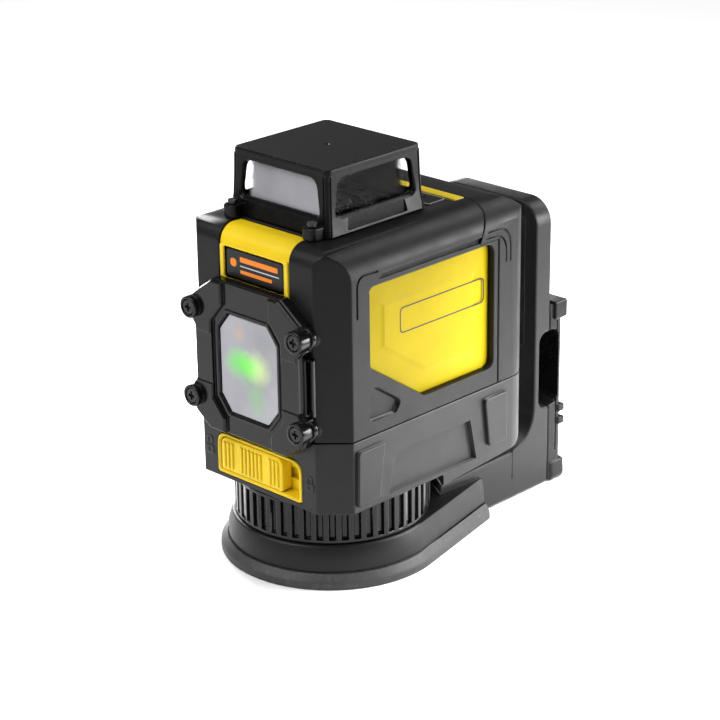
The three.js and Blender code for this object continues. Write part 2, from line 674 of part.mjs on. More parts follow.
function windowBezel() {
  const middleStep = bothSides((s) =>
    block([Math.min(s * 12, s * 40), padFront - 1, bezel.midBottom],
      [Math.max(s * 12, s * 40), padFront + bezel.step, bezel.midTop]));
  const bosses = bossPlaces.map(([x, z]) => rod("y", boss.radius, boss.front, plateRear, x, z, 24));
  const counterbores = bossPlaces.map(([x, z]) =>
    joined(rod("y", screw.head + gap, boss.front - 1, boss.front + screw.headHeight + 2 * gap, x, z, 24),
      rod("y", screw.shank + gap, boss.front - 1, plateRear + 1, x, z, 12)));
  return cut(
    joined(
      along(outline(bezelOutline(0)), plateFront, plateRear),
      padSide(1).subtract(middleStep),
      padSide(-1).subtract(middleStep),
      ...bosses,
    ),
    along(windowOutline(0), padFront - 1, plateRear + 1),
    along(windowOutline(windowHole.ledge), plateRear - windowHole.glass - gap, plateRear + 1),
    ...counterbores,
  );
}

piece("window_bezel", windowBezel(), blackPlastic);
piece("window_glass",
  along(windowOutline(windowHole.ledge - gap), plateRear - windowHole.glass, plateRear), clearGlass);
piece("window_gasket",
  along(windowOutline(windowHole.ledge - gap), body.front, body.front + 2).subtract(
    along(windowOutline(0.6), body.front - 1, body.front + 3)), rubber);

// A cross-head screw along Y, its head facing -Y.
function headScrew(x, z, headFront) {
  const headRear = headFront + screw.headHeight;
  const slotHalf = screw.crossLength / 2;
  return cut(
    joined(rod("y", screw.head, headFront, headRear, x, z, 20),
      rod("y", screw.shank, headRear - 0.1, headRear + screw.length, x, z, 12)),
    block([x - slotHalf, headFront - 1, z - screw.cross], [x + slotHalf, headFront + 0.9, z + screw.cross]),
    block([x - screw.cross, headFront - 1, z - slotHalf], [x + screw.cross, headFront + 0.9, z + slotHalf]),
  );
}
bossPlaces.forEach(([x, z], i) =>
  piece(`bezel_screw_${i + 1}`, headScrew(x, z, boss.front + gap), blackSteel));

// ---------------------------------------------------------------- lock slide

const traySlot = (z) => [z - tray.slotHeight / 2, z + tray.slotHeight / 2];
const trayMiddle = (tray.bottom + tray.top) / 2;
const [slotLow, slotHigh] = traySlot(trayMiddle);
const trayFloor = body.front + tray.depth;

function lockTray() {
  const inside = (depth) =>
    along(
      outline(mirrored([
        [tray.halfWidth - tray.rim, tray.bottom + tray.rim, 0.8],
        [tray.halfWidth - tray.rim, tray.top - tray.rim, tray.corner - tray.rim],
      ]), 4),
      body.front - 2,
      body.front + depth,
    );
  const rim = along(
    outline(mirrored([
      [tray.halfWidth, tray.bottom, 1.2],
      [tray.halfWidth, tray.top, tray.corner],
    ]), 4),
    body.front - 0.4,
    trayFloor,
  );
  const slotCut = block([thumbLeft + 2, body.front, slotLow],
    [thumbLeft + thumb.width - 2 + thumb.travel, trayFloor + 1, slotHigh]);
  return cut(rim, inside(tray.depth - 1.6), slotCut);
}

const thumbFront = body.front - 1.2;
const thumbRear = trayFloor - 1.6 - gap;
const tongueTop = body.bottom + body.wall + 2.4;
function lockThumb() {
  const low = tray.bottom + tray.rim + gap;
  const high = tray.top - tray.rim - gap;
  const right = thumbLeft + thumb.width;
  const grooves = [];
  for (let i = 0; i < thumb.ribs; i++) {
    const x = thumbLeft + (thumb.width * (i + 1)) / (thumb.ribs + 1);
    grooves.push(block([x - 0.55, thumbFront - 1, low + 1.2], [x + 0.55, thumbFront + thumb.ribDepth, high - 1.2]));
  }
  const cap = along(outline([
    [thumbLeft, low, 1],
    [right, low, 1],
    [right, high, thumbCorner],
    [thumbLeft, high, thumbCorner],
  ], 3), thumbFront, thumbRear);
  const neck = block([thumbLeft + 4, thumbRear - 0.1, slotLow + gap], [right - 4, trayFloor + gap + 0.6, slotHigh - gap]);
  const drop = block([thumbLeft + 8, trayFloor + gap, body.bottom + body.wall + gap],
    [right - 8, trayFloor + gap + 2.2, slotHigh - gap]);
  const rampRun = lock.ramp / 2;
  const slope = lock.lift / thumb.travel;
  const ramp = along(
    outline([
      [-rampRun, body.bottom + body.wall + gap],
      [rampRun, body.bottom + body.wall + gap],
      [rampRun, tongueTop - slope * rampRun],
      [-rampRun, tongueTop + slope * rampRun],
    ]),
    trayFloor + gap,
    lock.reach + lock.tongue,
  ).translate([-thumb.travel / 2, 0, 0]);
  return joined(cut(cap, ...grooves), neck, drop, ramp);
}

function lockPad() {
  const reachRear = lock.reach + lock.tongue - 0.5;
  const slope = lock.lift / thumb.travel;
  const dishRadius = gimbal.z - pendulum.foot + lock.lift + gap;
  const dish = [];
  const steps = 5;
  for (let i = steps; i >= 0; i--) {
    const r = (lock.padRadius * i) / steps;
    dish.push([r, gimbal.z - Math.sqrt(dishRadius ** 2 - r ** 2)]);
  }
  const disc = turned([[0, lock.padTop], [lock.padRadius, lock.padTop], ...dish], 40);
  const lever = block([-4, lock.reach + 1, lock.padTop], [4, -lock.padRadius + 1.5, lock.padTop + 2]);
  const foot = along(
    outline([
      [-4, tongueTop + slope * (4 - thumb.travel / 2) + gap],
      [4, tongueTop - slope * (4 + thumb.travel / 2) + gap],
      [4, lock.padTop + 0.1],
      [-4, lock.padTop + 0.1],
    ]),
    lock.reach + 1,
    reachRear,
  );
  return joined(disc, lever, foot);
}

piece("lock_tray", lockTray(), yellowPlastic);
piece("lock_thumb", lockThumb(), yellowPlastic);
piece("lock_pad", lockPad(), blackPlastic);

// ---------------------------------------------------------------- top lens cage

const cageLow = body.top + gap;
const squareOutline = (half, corner) =>
  outline([[half, half, corner], [-half, half, corner], [-half, -half, corner], [half, -half, corner]], 4);
const cageHalf = (z) =>
  THREE.MathUtils.mapLinear(z, cageLow, cageTop - cage.cap, cage.bottomHalf, cage.topHalf);

function lensCage() {
  const capLow = cageTop - cage.cap;
  const skin = loft([
    { points: squareOutline(cage.bottomHalf, cage.corner), level: cageLow },
    { points: squareOutline(cage.topHalf, cage.corner), level: capLow },
    { points: squareOutline(cage.topHalf, cage.corner), level: cageTop - 0.5 },
    { points: squareOutline(cage.topHalf - 0.5, cage.corner - 0.5), level: cageTop },
  ]);
  const inside = loft([
    { points: squareOutline(cageHalf(cageLow + cage.floor) - cage.wall, 2), level: cageLow + cage.floor },
    { points: squareOutline(cageHalf(body.top + cage.head + 1) - cage.wall, 2), level: body.top + cage.head + 1 },
  ]);
  const opening = outline(mirrored([
    [cage.openBottom, body.top + cage.sill, cage.openCorner],
    [cage.openTop, body.top + cage.head, cage.openCorner],
  ]), 3);
  const lugs = bothSides((s) => {
    const x = s * lug.x;
    return upwards(
      outline([
        [x - lug.width / 2, -cage.bottomHalf + 2],
        [x - lug.width / 2, lug.front, 2],
        [x + lug.width / 2, lug.front, 2],
        [x + lug.width / 2, -cage.bottomHalf + 2],
      ], 3),
      cageLow,
      cageLow + lug.height,
    );
  });

  return cut(
    joined(skin, lugs),
    inside,
    along(opening, -99, 99),
    across(opening, -99, 99),
    rod("z", cage.floorHole, cageLow - 1, cageLow + cage.floor + 1, 0, 0, 48),

    ...cageScrewPlaces.map(([x, y]) => rod("z", screw.shank + gap, cageLow - 1, cageLow + lug.height + 1, x, y, 12)),
  );
}

const cageScrewPlaces = [
  [lug.x, lug.front + 2.8],
  [-lug.x, lug.front + 2.8],
];
piece("lens_cage", lensCage(), blackPlastic);

[["front", 0], ["right", 1], ["rear", 2], ["left", 3]].forEach(([name, turns]) => {
  const outer = (z) => cageHalf(z) - cage.wall - gap;
  const section = (z) => ({
    points: outline([
      [-pane.halfWidth, -outer(z)],
      [pane.halfWidth, -outer(z)],
      [pane.halfWidth, -outer(z) + pane.thickness],
      [-pane.halfWidth, -outer(z) + pane.thickness],
    ]),
    level: z,
  });
  piece(`cage_pane_${name}`, loft([section(body.top + pane.bottom), section(body.top + pane.top)]).rotate([0, 0, 90 * turns]), clearGlass);
});
cageScrewPlaces.forEach(([x, y], i) =>
  piece(
    `cage_screw_${i + 1}`,
    joined(
      rod("z", lug.screw, cageLow + lug.height + gap, cageLow + lug.height + 1.5, x, y, 16),
      rod("z", screw.shank, body.top - 6, cageLow + lug.height + 0.4, x, y, 12),
    ),
    blackSteel,
  ));

// ---------------------------------------------------------------- gimbal and pendulum

function gimbalFrame() {
  const { frameHalfX, frameHalfY, z, frameHeight } = gimbal;
  const plate = upwards(
    outline(mirrored([[frameHalfX, -frameHalfY, 5], [frameHalfX, frameHalfY, 5]])),
    z - frameHeight / 2,
    z + frameHeight / 2,
  );
  const posts = [[1, 1], [1, -1], [-1, 1], [-1, -1]].map(([sx, sy]) =>
    rod("z", gimbal.post, z, body.top - body.wall - gap, sx * gimbal.postX, sy * gimbal.postY, 16));
  return cut(
    joined(plate, ...posts),
    rod("z", gimbal.opening, z - 9, z + 9, 0, 0, 48),
    rod("x", gimbal.bearing + gap, -frameHalfX - 1, frameHalfX + 1, 0, z, 24),
  );
}
piece("gimbal_frame", gimbalFrame(), aluminium);
[["gimbal_bearing_right", 1], ["gimbal_bearing_left", -1]].forEach(([name, s]) => {
  const [low, high] = [s * (gimbal.outerPin - gimbal.bearingWidth), s * gimbal.outerPin].sort((a, b) => a - b);
  piece(
    name,
    rod("x", gimbal.bearing, low, high, 0, gimbal.z, 24).subtract(
      rod("x", gimbal.pin + gimbal.pinPlay, low - 1, high + 1, 0, gimbal.z, 16)),
    steel,
  );
});

function gimbalRing() {
  const pins = bothSides((s) => {
    const ends = [s * (gimbal.ringInner + 1), s * (gimbal.outerPin - 0.4)].sort((a, b) => a - b);
    return rod("x", gimbal.pin, ...ends, 0, gimbal.z, 16);
  });
  return cut(
    joined(rod("z", gimbal.ringOuter, gimbal.z - gimbal.height / 2, gimbal.z + gimbal.height / 2, 0, 0, 48), pins),
    rod("z", gimbal.ringInner, gimbal.z - 9, gimbal.z + 9, 0, 0, 48),
    rod("y", gimbal.pin + gimbal.pinPlay, -99, 99, 0, gimbal.z, 16),
  );
}
piece("gimbal_ring", gimbalRing(), aluminium);

const floorTop = body.bottom + body.wall + gap;
const footSphere = gimbal.z - pendulum.foot;
function pendulumFrame() {
  const tube = rod("z", pendulum.tube, gimbal.z - 12, pendulum.tubeTop, 0, 0, 40);
  const stem = block([-pendulum.stem, -pendulum.stem, pendulum.weightTop], [pendulum.stem, pendulum.stem, gimbal.z - 11]);
  const pins = rod("y", gimbal.pin, -gimbal.ringOuter + 1, gimbal.ringOuter - 1, 0, gimbal.z, 16);
  const saddle = rod("y", laser.barrel + 1.5, frontLaser.barrelEnd + 8, -2, 0, laser.front, 32);
  return cut(joined(tube, stem, pins, saddle),
    rod("y", laser.barrel + gap, frontLaser.barrelEnd - 1, frontLaser.barrelEnd + 16, 0, laser.front, 32));
}
piece("pendulum_frame", pendulumFrame(), aluminium);

function counterweight() {
  const cap = [];
  const steps = 4;
  for (let i = 0; i <= steps; i++) {
    const r = (pendulum.footRadius * i) / steps;
    cap.push([r, gimbal.z - Math.sqrt(footSphere ** 2 - r ** 2)]);
  }
  return turned([
    ...cap,
    [pendulum.footRadius, pendulum.footTop],
    [pendulum.weight, pendulum.footTop + 2],
    [pendulum.weight, pendulum.weightTop - gap],
    [0, pendulum.weightTop - gap],
  ], 40);
}
piece("counterweight", cut(counterweight(),
  block([-99, pendulum.weight - 1.5, 0], [99, 99, 99])), brass);
piece("damping_magnet",
  rod("y", pendulum.magnetRadius, pendulum.weight - 1.5 + gap, pendulum.weight - 1.5 + pendulum.magnetLength, 0,
    pendulum.magnetZ + 1, 24),
  steel);
piece("damping_plate",
  block([-damper.halfX, damperFront, floorTop], [damper.halfX, damperFront + damper.thickness, damper.top]),
  aluminium);

// A line module about +Z from z = 0: a glass tube, and a mirror cone that hangs in it point down from its cap.
const moduleTube = (length) => turned([
  [laser.tube - laser.tubeWall, 0],
  [laser.tube, 0],
  [laser.tube, length],
  [laser.tube - laser.tubeWall, length],
  [laser.tube - laser.tubeWall, 0],
], 40);
function moduleCone(length, capLength) {
  const inner = laser.tube - laser.tubeWall - gap;
  return turned([
    [0, 1.2],
    [inner, length - 0.5],
    [inner, length + gap],
    [laser.cap, length + gap],
    [laser.cap, length + gap + capLength],
    [0, length + gap + capLength],
  ], 40);
}
const facingFront = (made, y, z) => made.rotate([90, 0, 0]).translate([0, y, z]);

piece("top_laser_barrel",
  rod("z", laser.barrel, pendulum.tubeTop + gap, laserTop, 0, 0, 40), blackPlastic);
piece("top_lens_tube", moduleTube(laser.tubeLength).translate([0, 0, laserTop + gap]), clearGlass);
piece("top_cone_mirror",
  moduleCone(laser.tubeLength, laser.capLength).translate([0, 0, laserTop + gap]), mirror);
piece("front_laser_barrel",
  rod("y", laser.barrel, frontLaser.barrelEnd, frontLaser.barrelEnd + 14, 0, laser.front, 40), blackPlastic);
piece("front_lens_tube",
  facingFront(moduleTube(frontLaser.tubeLength), frontLaser.barrelEnd - gap, laser.front), clearGlass);
piece("front_cone_mirror",
  facingFront(moduleCone(frontLaser.tubeLength, frontLaser.capLength), frontLaser.barrelEnd - gap, laser.front), mirror);

// ---------------------------------------------------------------- electronics

piece("main_board",
  block([-board.halfX, board.y, floorTop], [board.halfX, board.y + board.thickness, board.top]), circuitGreen);
piece("battery_pack",
  upwards(
    outline(mirrored([
      [battery.halfX, body.rear - battery.rearRoom - battery.thickness, battery.corner],
      [battery.halfX, body.rear - battery.rearRoom, battery.corner],
    ]), 4),
    battery.bottom,
    battery.top,
  ),
  cellBlue);

level.position.y = -(boss.front + blockRear + magnet.proud) / 2;

export default level;
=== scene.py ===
# %% [markdown]
# # Rotating line laser level on a magnetic bracket
# The housing turns on a ribbed ring above a round foot, and an arm from the foot bends up into a
# magnetic upright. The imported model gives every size, joint and place. This script adds the looks:
# finely shaped plastic mouldings, glass, mirrors, screws and their finishes.
# The frame is loaded first, so that each piece can ride on its own moving body.

import json
import math

import bmesh
import bpy
from mathutils import Matrix, Vector


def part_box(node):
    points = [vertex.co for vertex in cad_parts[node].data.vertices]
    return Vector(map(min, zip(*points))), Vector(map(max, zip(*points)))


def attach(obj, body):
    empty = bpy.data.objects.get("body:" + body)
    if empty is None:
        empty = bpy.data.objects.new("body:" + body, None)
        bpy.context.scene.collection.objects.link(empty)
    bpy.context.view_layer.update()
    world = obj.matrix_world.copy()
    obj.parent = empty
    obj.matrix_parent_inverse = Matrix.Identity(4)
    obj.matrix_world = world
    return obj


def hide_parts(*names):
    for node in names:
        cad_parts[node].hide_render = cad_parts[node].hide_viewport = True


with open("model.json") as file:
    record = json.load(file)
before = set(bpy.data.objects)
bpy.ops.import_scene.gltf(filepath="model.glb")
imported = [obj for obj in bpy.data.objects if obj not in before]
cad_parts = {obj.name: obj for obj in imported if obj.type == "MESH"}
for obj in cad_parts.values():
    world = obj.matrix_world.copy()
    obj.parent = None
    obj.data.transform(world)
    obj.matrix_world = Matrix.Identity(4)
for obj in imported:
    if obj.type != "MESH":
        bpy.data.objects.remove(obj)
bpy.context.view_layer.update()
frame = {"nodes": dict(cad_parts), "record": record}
record = frame["record"]
joints = {joint["name"]: joint for joint in record["behaviour"]["joints"]}
MM = 0.001
AXIS_Y = joints["swivel"]["pos_m"][1] / MM

# %% [markdown]
# ## Camera
# A long lens from above the right front corner keeps the upright edges nearly parallel, as in a
# catalogue view. Its place is written as angles and a distance from a point on the swivel axis, which
# is easier to read and to change than nine numbers of a matrix.

# %% Camera
YAW, PITCH, ROLL = (math.radians(angle) for angle in (44.382, 21.458, 0.73))
DISTANCE, AIM_ACROSS, AIM_UP = 882.142, 11.153, 74.678
FOCAL_LENGTH, SENSOR_WIDTH = 117.4, 36
back = Vector((math.sin(YAW) * math.cos(PITCH), -math.cos(YAW) * math.cos(PITCH), math.sin(PITCH)))
level = Vector((math.cos(YAW), math.sin(YAW), 0))
turn = Matrix.Rotation(-ROLL, 3, back)
axes = Matrix((turn @ level, turn @ back.cross(level), back)).transposed()
aim = Vector((AIM_ACROSS * math.cos(YAW), AIM_ACROSS * math.sin(YAW) + AXIS_Y, AIM_UP))
eye = (aim + back * DISTANCE) * MM
lens = bpy.data.cameras.new("catalogue_lens")
lens.lens, lens.sensor_width, lens.clip_start = FOCAL_LENGTH, SENSOR_WIDTH, 0.01
camera = bpy.data.objects.new("camera", lens)
camera.matrix_world = Matrix.Translation(eye) @ axes.to_4x4()
bpy.context.scene.collection.objects.link(camera)
bpy.context.scene.camera = camera
print("camera at", [round(v, 3) for v in eye])

# %% [markdown]
# ## Floor and light
# Dark plastic shows its shape through reflections more than through shading. So the light is a dim
# white surround with a few large soft panels, whose edges draw long highlights down the corners. The
# floor is one sheet of pale paper. A studio sheet curves up behind the object, which works from one
# side only. This one fades out towards its rim, into a surround that is bright for the camera alone,
# so it has no hard rim from any side.

# %% Object and node basics
def link(name, mesh):
    obj = bpy.data.objects.new(name, mesh)
    bpy.context.scene.collection.objects.link(obj)
    return obj


def new_material(name):
    """A node material, its tree and its surface shader."""
    material = bpy.data.materials.new(name)
    material.use_nodes = True
    return material, material.node_tree, material.node_tree.nodes["Principled BSDF"]


def feed(tree, node, **inputs):
    """Links or sets the inputs of a node, given by name or as _0, _1, _2."""
    for key, value in inputs.items():
        socket = node.inputs[int(key[1:]) if key[1:].isdigit() else key.replace("_", " ")]
        if isinstance(value, bpy.types.NodeSocket):
            tree.links.new(value, socket)
        else:
            socket.default_value = value


def add_node(tree, kind, **settings):
    """A node of that kind. Settings that name an attribute set it, and the others feed an input."""
    node = tree.nodes.new("ShaderNode" + kind)
    for key, value in settings.items():
        if hasattr(node, key):
            setattr(node, key, value)
        else:
            feed(tree, node, **{key: value})
    return node


def show(tree, shader):
    """Makes this shader the one that the surface has."""
    tree.links.new(shader.outputs[0], tree.nodes["Material Output"].inputs["Surface"])


# %% Floor sheet
SHEET_HALF, FADE_START, FADE_END = 1.1, 0.45, 1.0  # metres from the middle
floor_material, tree, paper = new_material("studio_paper")
feed(tree, paper, Base_Color=(0.93, 0.93, 0.93, 1), Roughness=0.9)
place = add_node(tree, "TexCoord").outputs["Object"]
away = add_node(tree, "VectorMath", operation="LENGTH", _0=place).outputs["Value"]
fade = add_node(tree, "MapRange", interpolation_type="SMOOTHSTEP", Value=away, From_Min=FADE_START,
                From_Max=FADE_END)
gone = add_node(tree, "BsdfTransparent")
show(tree, add_node(tree, "MixShader", _0=fade.outputs["Result"], _1=paper.outputs[0], _2=gone.outputs[0]))
sheet = bpy.data.meshes.new("studio_floor")
corners = [(x * SHEET_HALF, y * SHEET_HALF, 0) for x, y in ((-1, -1), (1, -1), (1, 1), (-1, 1))]
sheet.from_pydata(corners, [], [(0, 1, 2, 3)])
sheet.materials.append(floor_material)
floor = link("studio_floor", sheet)
print("floor", floor.dimensions[:2])

# %% Light panels
PANEL_AIM = 0.07  # the height that every panel faces
# Azimuth and elevation in degrees, then distance, width and height in metres, and power in watts.
PANELS = {
    "panel_key": (-20, 42, 1.3, 0.9, 0.7, 13),
    "panel_right": (134, 6, 1.0, 0.3, 0.4, 6),
    "panel_top": (60, 80, 1.4, 1.1, 1.1, 8),
    "panel_rim": (170, 30, 1.5, 0.5, 0.9, 9),
    "panel_left": (-112, 12, 1.2, 0.25, 0.6, 13),
}


def light_panel(name, azimuth, elevation, distance, width, height, power):
    """A soft panel seen at that azimuth and elevation from the tool, facing it."""
    lamp = bpy.data.lights.new(name, "AREA")
    lamp.shape, lamp.size, lamp.size_y, lamp.energy = "RECTANGLE", width, height, power
    turn, rise = math.radians(azimuth), math.radians(elevation)
    toward = Vector((math.sin(turn) * math.cos(rise), -math.cos(turn) * math.cos(rise), math.sin(rise)))
    obj = bpy.data.objects.new(name, lamp)
    obj.location = Vector((0, AXIS_Y * MM, PANEL_AIM)) + toward * distance
    obj.rotation_euler = toward.to_track_quat("Z", "Y").to_euler()
    bpy.context.scene.collection.objects.link(obj)
    return obj


for name, values in PANELS.items():
    light_panel(name, *values)
print("panels:", list(PANELS))

# %% Paper lamps
# Small lamps just over the paper at both rear quarters. They face down, and each flank mirrors the
# bright patch its lamp makes, which is what lifts the flank from black to grey.
PATCH_AZIMUTH, PATCH_REACH, PATCH_HEIGHT, PATCH_SIZE, PATCH_POWER = 134, 0.2, 0.13, 0.16, 1.25
for side, name in ((1, "patch_right"), (-1, "patch_left")):
    patch = light_panel(name, side * PATCH_AZIMUTH, 0, PATCH_REACH, PATCH_SIZE, PATCH_SIZE, PATCH_POWER)
    patch.location.z = PATCH_HEIGHT
    patch.rotation_euler = (0, 0, 0)
    patch.visible_camera = False

# %% Surround
# One white at two strengths: a dim one to light the tool, and a bright one that only the camera sees.
# The Standard view keeps the yellow saturated and the black plastics deep.
SURROUND_LIGHT, SURROUND_SEEN = 0.2, 0.95
world = bpy.data.worlds.new("studio_surround")
world.use_nodes = True
sky = world.node_tree
dim = sky.nodes["Background"]
feed(sky, dim, Color=(1, 1, 1, 1), Strength=SURROUND_LIGHT)
bright = add_node(sky, "Background", Color=(1, 1, 1, 1), Strength=SURROUND_SEEN)
seen = add_node(sky, "LightPath").outputs["Is Camera Ray"]
choice = add_node(sky, "MixShader", _0=seen, _1=dim.outputs[0], _2=bright.outputs[0])
sky.links.new(choice.outputs[0], sky.nodes["World Output"].inputs["Surface"])
bpy.context.scene.world = world
bpy.context.scene.view_settings.view_transform = "Standard"
print("surround:", SURROUND_LIGHT, "as light,", SURROUND_SEEN, "as seen")

# %% [markdown]
# ## Finishes
# Each finish is a small node tree: a colour that drifts a little, a roughness that is never even, and
# a fine bump. Edges of plastic get polished by handling, so an edge mask makes them glossier. The same
# mask also paints them paler, a painted highlight speckled like wear. It compares the true surface
# direction with a softened one: they differ only near an edge.

# %% Node helpers
def noise(tree, place, size, detail=3.0, roughness=0.55):
    """Noise whose lumps are about that many millimetres across."""
    node = add_node(tree, "TexNoise", Vector=place, Scale=1 / (size * MM), Detail=detail, Roughness=roughness)
    return node.outputs["Fac"]


def remap(tree, value, low, high, to_low, to_high):
    node = add_node(tree, "MapRange", Value=value, From_Min=low, From_Max=high, To_Min=to_low, To_Max=to_high)
    return node.outputs["Result"]


def blend(tree, factor, first, second):
    """A colour between two, each a colour or a link."""
    return add_node(tree, "Mix", data_type="RGBA", _0=factor, _6=first, _7=second).outputs[2]


def maths(tree, kind, first, second=0.0):
    return add_node(tree, "Math", operation=kind, _0=first, _1=second).outputs[0]


def edge_mask(tree, radius):
    """1 along edges and corners, 0 on flat ground, and the normal softened over that many millimetres."""
    soft = add_node(tree, "Bevel", samples=4, Radius=radius * MM).outputs["Normal"]
    true = add_node(tree, "NewGeometry").outputs["True Normal"]
    dot = add_node(tree, "VectorMath", operation="DOT_PRODUCT", _0=soft, _1=true).outputs["Value"]
    return remap(tree, dot, 0.995, 0.86, 0, 1), soft


def scaled(colour, factor, lift=0.0):
    """A colour made brighter or darker, kept within 1."""
    return tuple(min(c * factor + lift, 1) for c in colour[:3]) + (1,)


def grey(level, tint=(1, 1, 1)):
    return tuple(level * t for t in tint) + (1,)


# %% Moulded plastic and rubber
def moulded(name, colour, lighter, rough, grain=0.35, bump=0.08, edge=0.35, dust=0.0, gloss=0.3):
    """Moulded plastic: spark-eroded grain, drifting gloss, edges polished by handling and painted paler as a
    highlight.
    """
    material, tree, shader = new_material(name)
    place = add_node(tree, "TexCoord").outputs["Object"]
    drift = noise(tree, place, 28, 4)
    fine = noise(tree, place, grain, 2)
    speck = noise(tree, place, grain * 5, 5, 0.7)
    edges, soft = edge_mask(tree, 0.35)
    # The edge mask, speckled like wear, paints the edges paler as a painted highlight and makes them glossier.
    worn_and_lit_edges = maths(tree, "MULTIPLY", edges, remap(tree, speck, 0.35, 0.65, edge * 0.4, edge))
    base = blend(tree, remap(tree, drift, 0.3, 0.7, 0, 1), colour, scaled(colour, 1.18))
    ground = blend(tree, remap(tree, fine, 0.62, 0.8, 0, 0.5), base, lighter)
    if dust:
        ground = blend(tree, remap(tree, speck, 0.5, 0.8, 0, dust), ground, grey(0.5))
    matt = remap(tree, noise(tree, place, 9, 5, 0.6), 0.3, 0.7, rough - 0.05, rough + 0.06)
    polished = maths(tree, "SUBTRACT", matt, maths(tree, "MULTIPLY", worn_and_lit_edges, 0.25))
    height = maths(tree, "ADD", fine, maths(tree, "MULTIPLY", speck, 0.4))
    relief = add_node(tree, "Bump", Strength=bump, Distance=0.1 * MM, Height=height, Normal=soft)
    feed(tree, shader, Base_Color=blend(tree, worn_and_lit_edges, ground, lighter), Roughness=polished,
         Normal=relief.outputs["Normal"], Specular_IOR_Level=gloss)
    return material


COOL = (1, 1, 1.03)
HOUSING = moulded("housing_grey", grey(0.004, COOL), grey(0.03), 0.42, bump=0.2, gloss=0.22)
# The lower shell's grey is a little paler than the housing's: painted light for the brighter lower flank. It is also
# glossier.
LOWER_LIT_GREY = moulded("lower_grey", grey(0.005, COOL), grey(0.035), 0.42, bump=0.2, gloss=0.32)
BLACK = moulded("satin_black", grey(0.002), grey(0.04), 0.28, edge=0.5, gloss=0.18)
GLOSS = moulded("gloss_black", grey(0.003), grey(0.06), 0.14, bump=0.03, edge=0.6)
BRACKET = moulded("bracket_black", grey(0.006, (1, 1, 1.04)), grey(0.045), 0.4, bump=0.16, gloss=0.24)
SOLE = moulded("sole_rubber", grey(0.034, COOL), grey(0.1), 0.5, grain=0.5, bump=0.3, edge=0.25, dust=0.06)
SOFT = moulded("button_rubber", grey(0.006), grey(0.05), 0.6, bump=0.15)
BADGE = moulded("badge_yellow", (0.345, 0.262, 0.003, 1), (0.5, 0.4, 0.04, 1), 0.4, bump=0.05, edge=0.3, gloss=0.07)
TRIM = moulded("trim_yellow", (0.68, 0.48, 0.008, 1), (0.8, 0.65, 0.06, 1), 0.32, bump=0.05, edge=0.3)
BOARD = moulded("solder_mask", (0.01, 0.12, 0.05, 1), (0.3, 0.4, 0.2, 1), 0.3, bump=0.05)
WRAP = moulded("cell_wrap", (0.02, 0.06, 0.2, 1), (0.2, 0.3, 0.5, 1), 0.3, bump=0.03)
INK = moulded("print_black", grey(0.004), grey(0.02), 0.35, bump=0.02, edge=0.1)
ORANGE = moulded("print_orange", (0.75, 0.2, 0.01, 1), (0.85, 0.35, 0.05, 1), 0.4, bump=0.02, edge=0.1)
WHITE = moulded("print_white", grey(0.55), grey(0.7), 0.4, bump=0.02, edge=0.1)
print("plastics:", HOUSING.name, "and others")

# %% [markdown]
# ## Metals, glass and mirrors
# Turned metal carries fine rings, cast metal a grain. The panes are thin clear sheets: a transparent
# shader under a reflection that grows at grazing angles keeps what is behind them bright, which solid
# refracting glass without caustics wouldn't. Hazy glass adds a pale veil to that.

# %% Metal
def metal(name, colour, rough, bump=0.05):
    """Metal with a streaked roughness and small handling marks."""
    material, tree, shader = new_material(name)
    place = add_node(tree, "TexCoord").outputs["Object"]
    streaks = noise(tree, place, 0.5, 6, 0.65)
    stains = noise(tree, place, 6, 3)
    edges, soft = edge_mask(tree, 0.2)
    body = blend(tree, remap(tree, stains, 0.35, 0.7, 0, 0.6), colour, scaled(colour, 0.72))
    # Edges are painted brighter: a painted highlight.
    colour = blend(tree, maths(tree, "MULTIPLY", edges, 0.7), body, scaled(colour, 1.3, 0.03))
    matt = remap(tree, streaks, 0.3, 0.7, rough * 0.7, rough * 1.3)
    relief = add_node(tree, "Bump", Strength=bump, Distance=0.05 * MM, Height=streaks, Normal=soft)
    feed(tree, shader, Base_Color=colour, Roughness=matt, Normal=relief.outputs["Normal"], Metallic=1)
    return material


STEEL = metal("turned_steel", grey(0.55), 0.28)
MAGNET = metal("nickel_magnet", grey(0.5), 0.22)
BLACK_STEEL = metal("black_screw", grey(0.05), 0.3)
BRASS = metal("turned_brass", (0.72, 0.5, 0.2, 1), 0.28)
ALUMINIUM = metal("cast_aluminium", grey(0.62), 0.42, bump=0.12)
MIRROR = metal("cone_mirror", grey(0.9), 0.05, bump=0.01)
print("metals ready")


# %% Clear glass
def thin_pane(tree, tint, rough, weakest, strongest):
    """A see-through sheet that reflects little face on and more at a slant, the same from either side."""
    slant = add_node(tree, "LayerWeight", Blend=0.5).outputs["Facing"]
    share = remap(tree, maths(tree, "POWER", slant, 4.0), 0, 1, weakest, strongest)
    through = add_node(tree, "BsdfTransparent", Color=tint)
    shine = add_node(tree, "BsdfGlossy", Color=(1, 1, 1, 1), Roughness=rough)
    return add_node(tree, "MixShader", _0=share, _1=through.outputs[0], _2=shine.outputs[0])


def clear_glass(name, tint):
    """A thin clear pane, with smears in its reflection."""
    material, tree, shader = new_material(name)
    tree.nodes.remove(shader)
    place = add_node(tree, "TexCoord").outputs["Object"]
    smear = remap(tree, noise(tree, place, 14, 5, 0.7), 0.4, 0.7, 0.005, 0.02)
    show(tree, thin_pane(tree, tint, smear, 0.006, 0.3))
    return material


PANE = clear_glass("clear_pane", (0.95, 0.96, 0.96, 1))
print("clear glass ready")


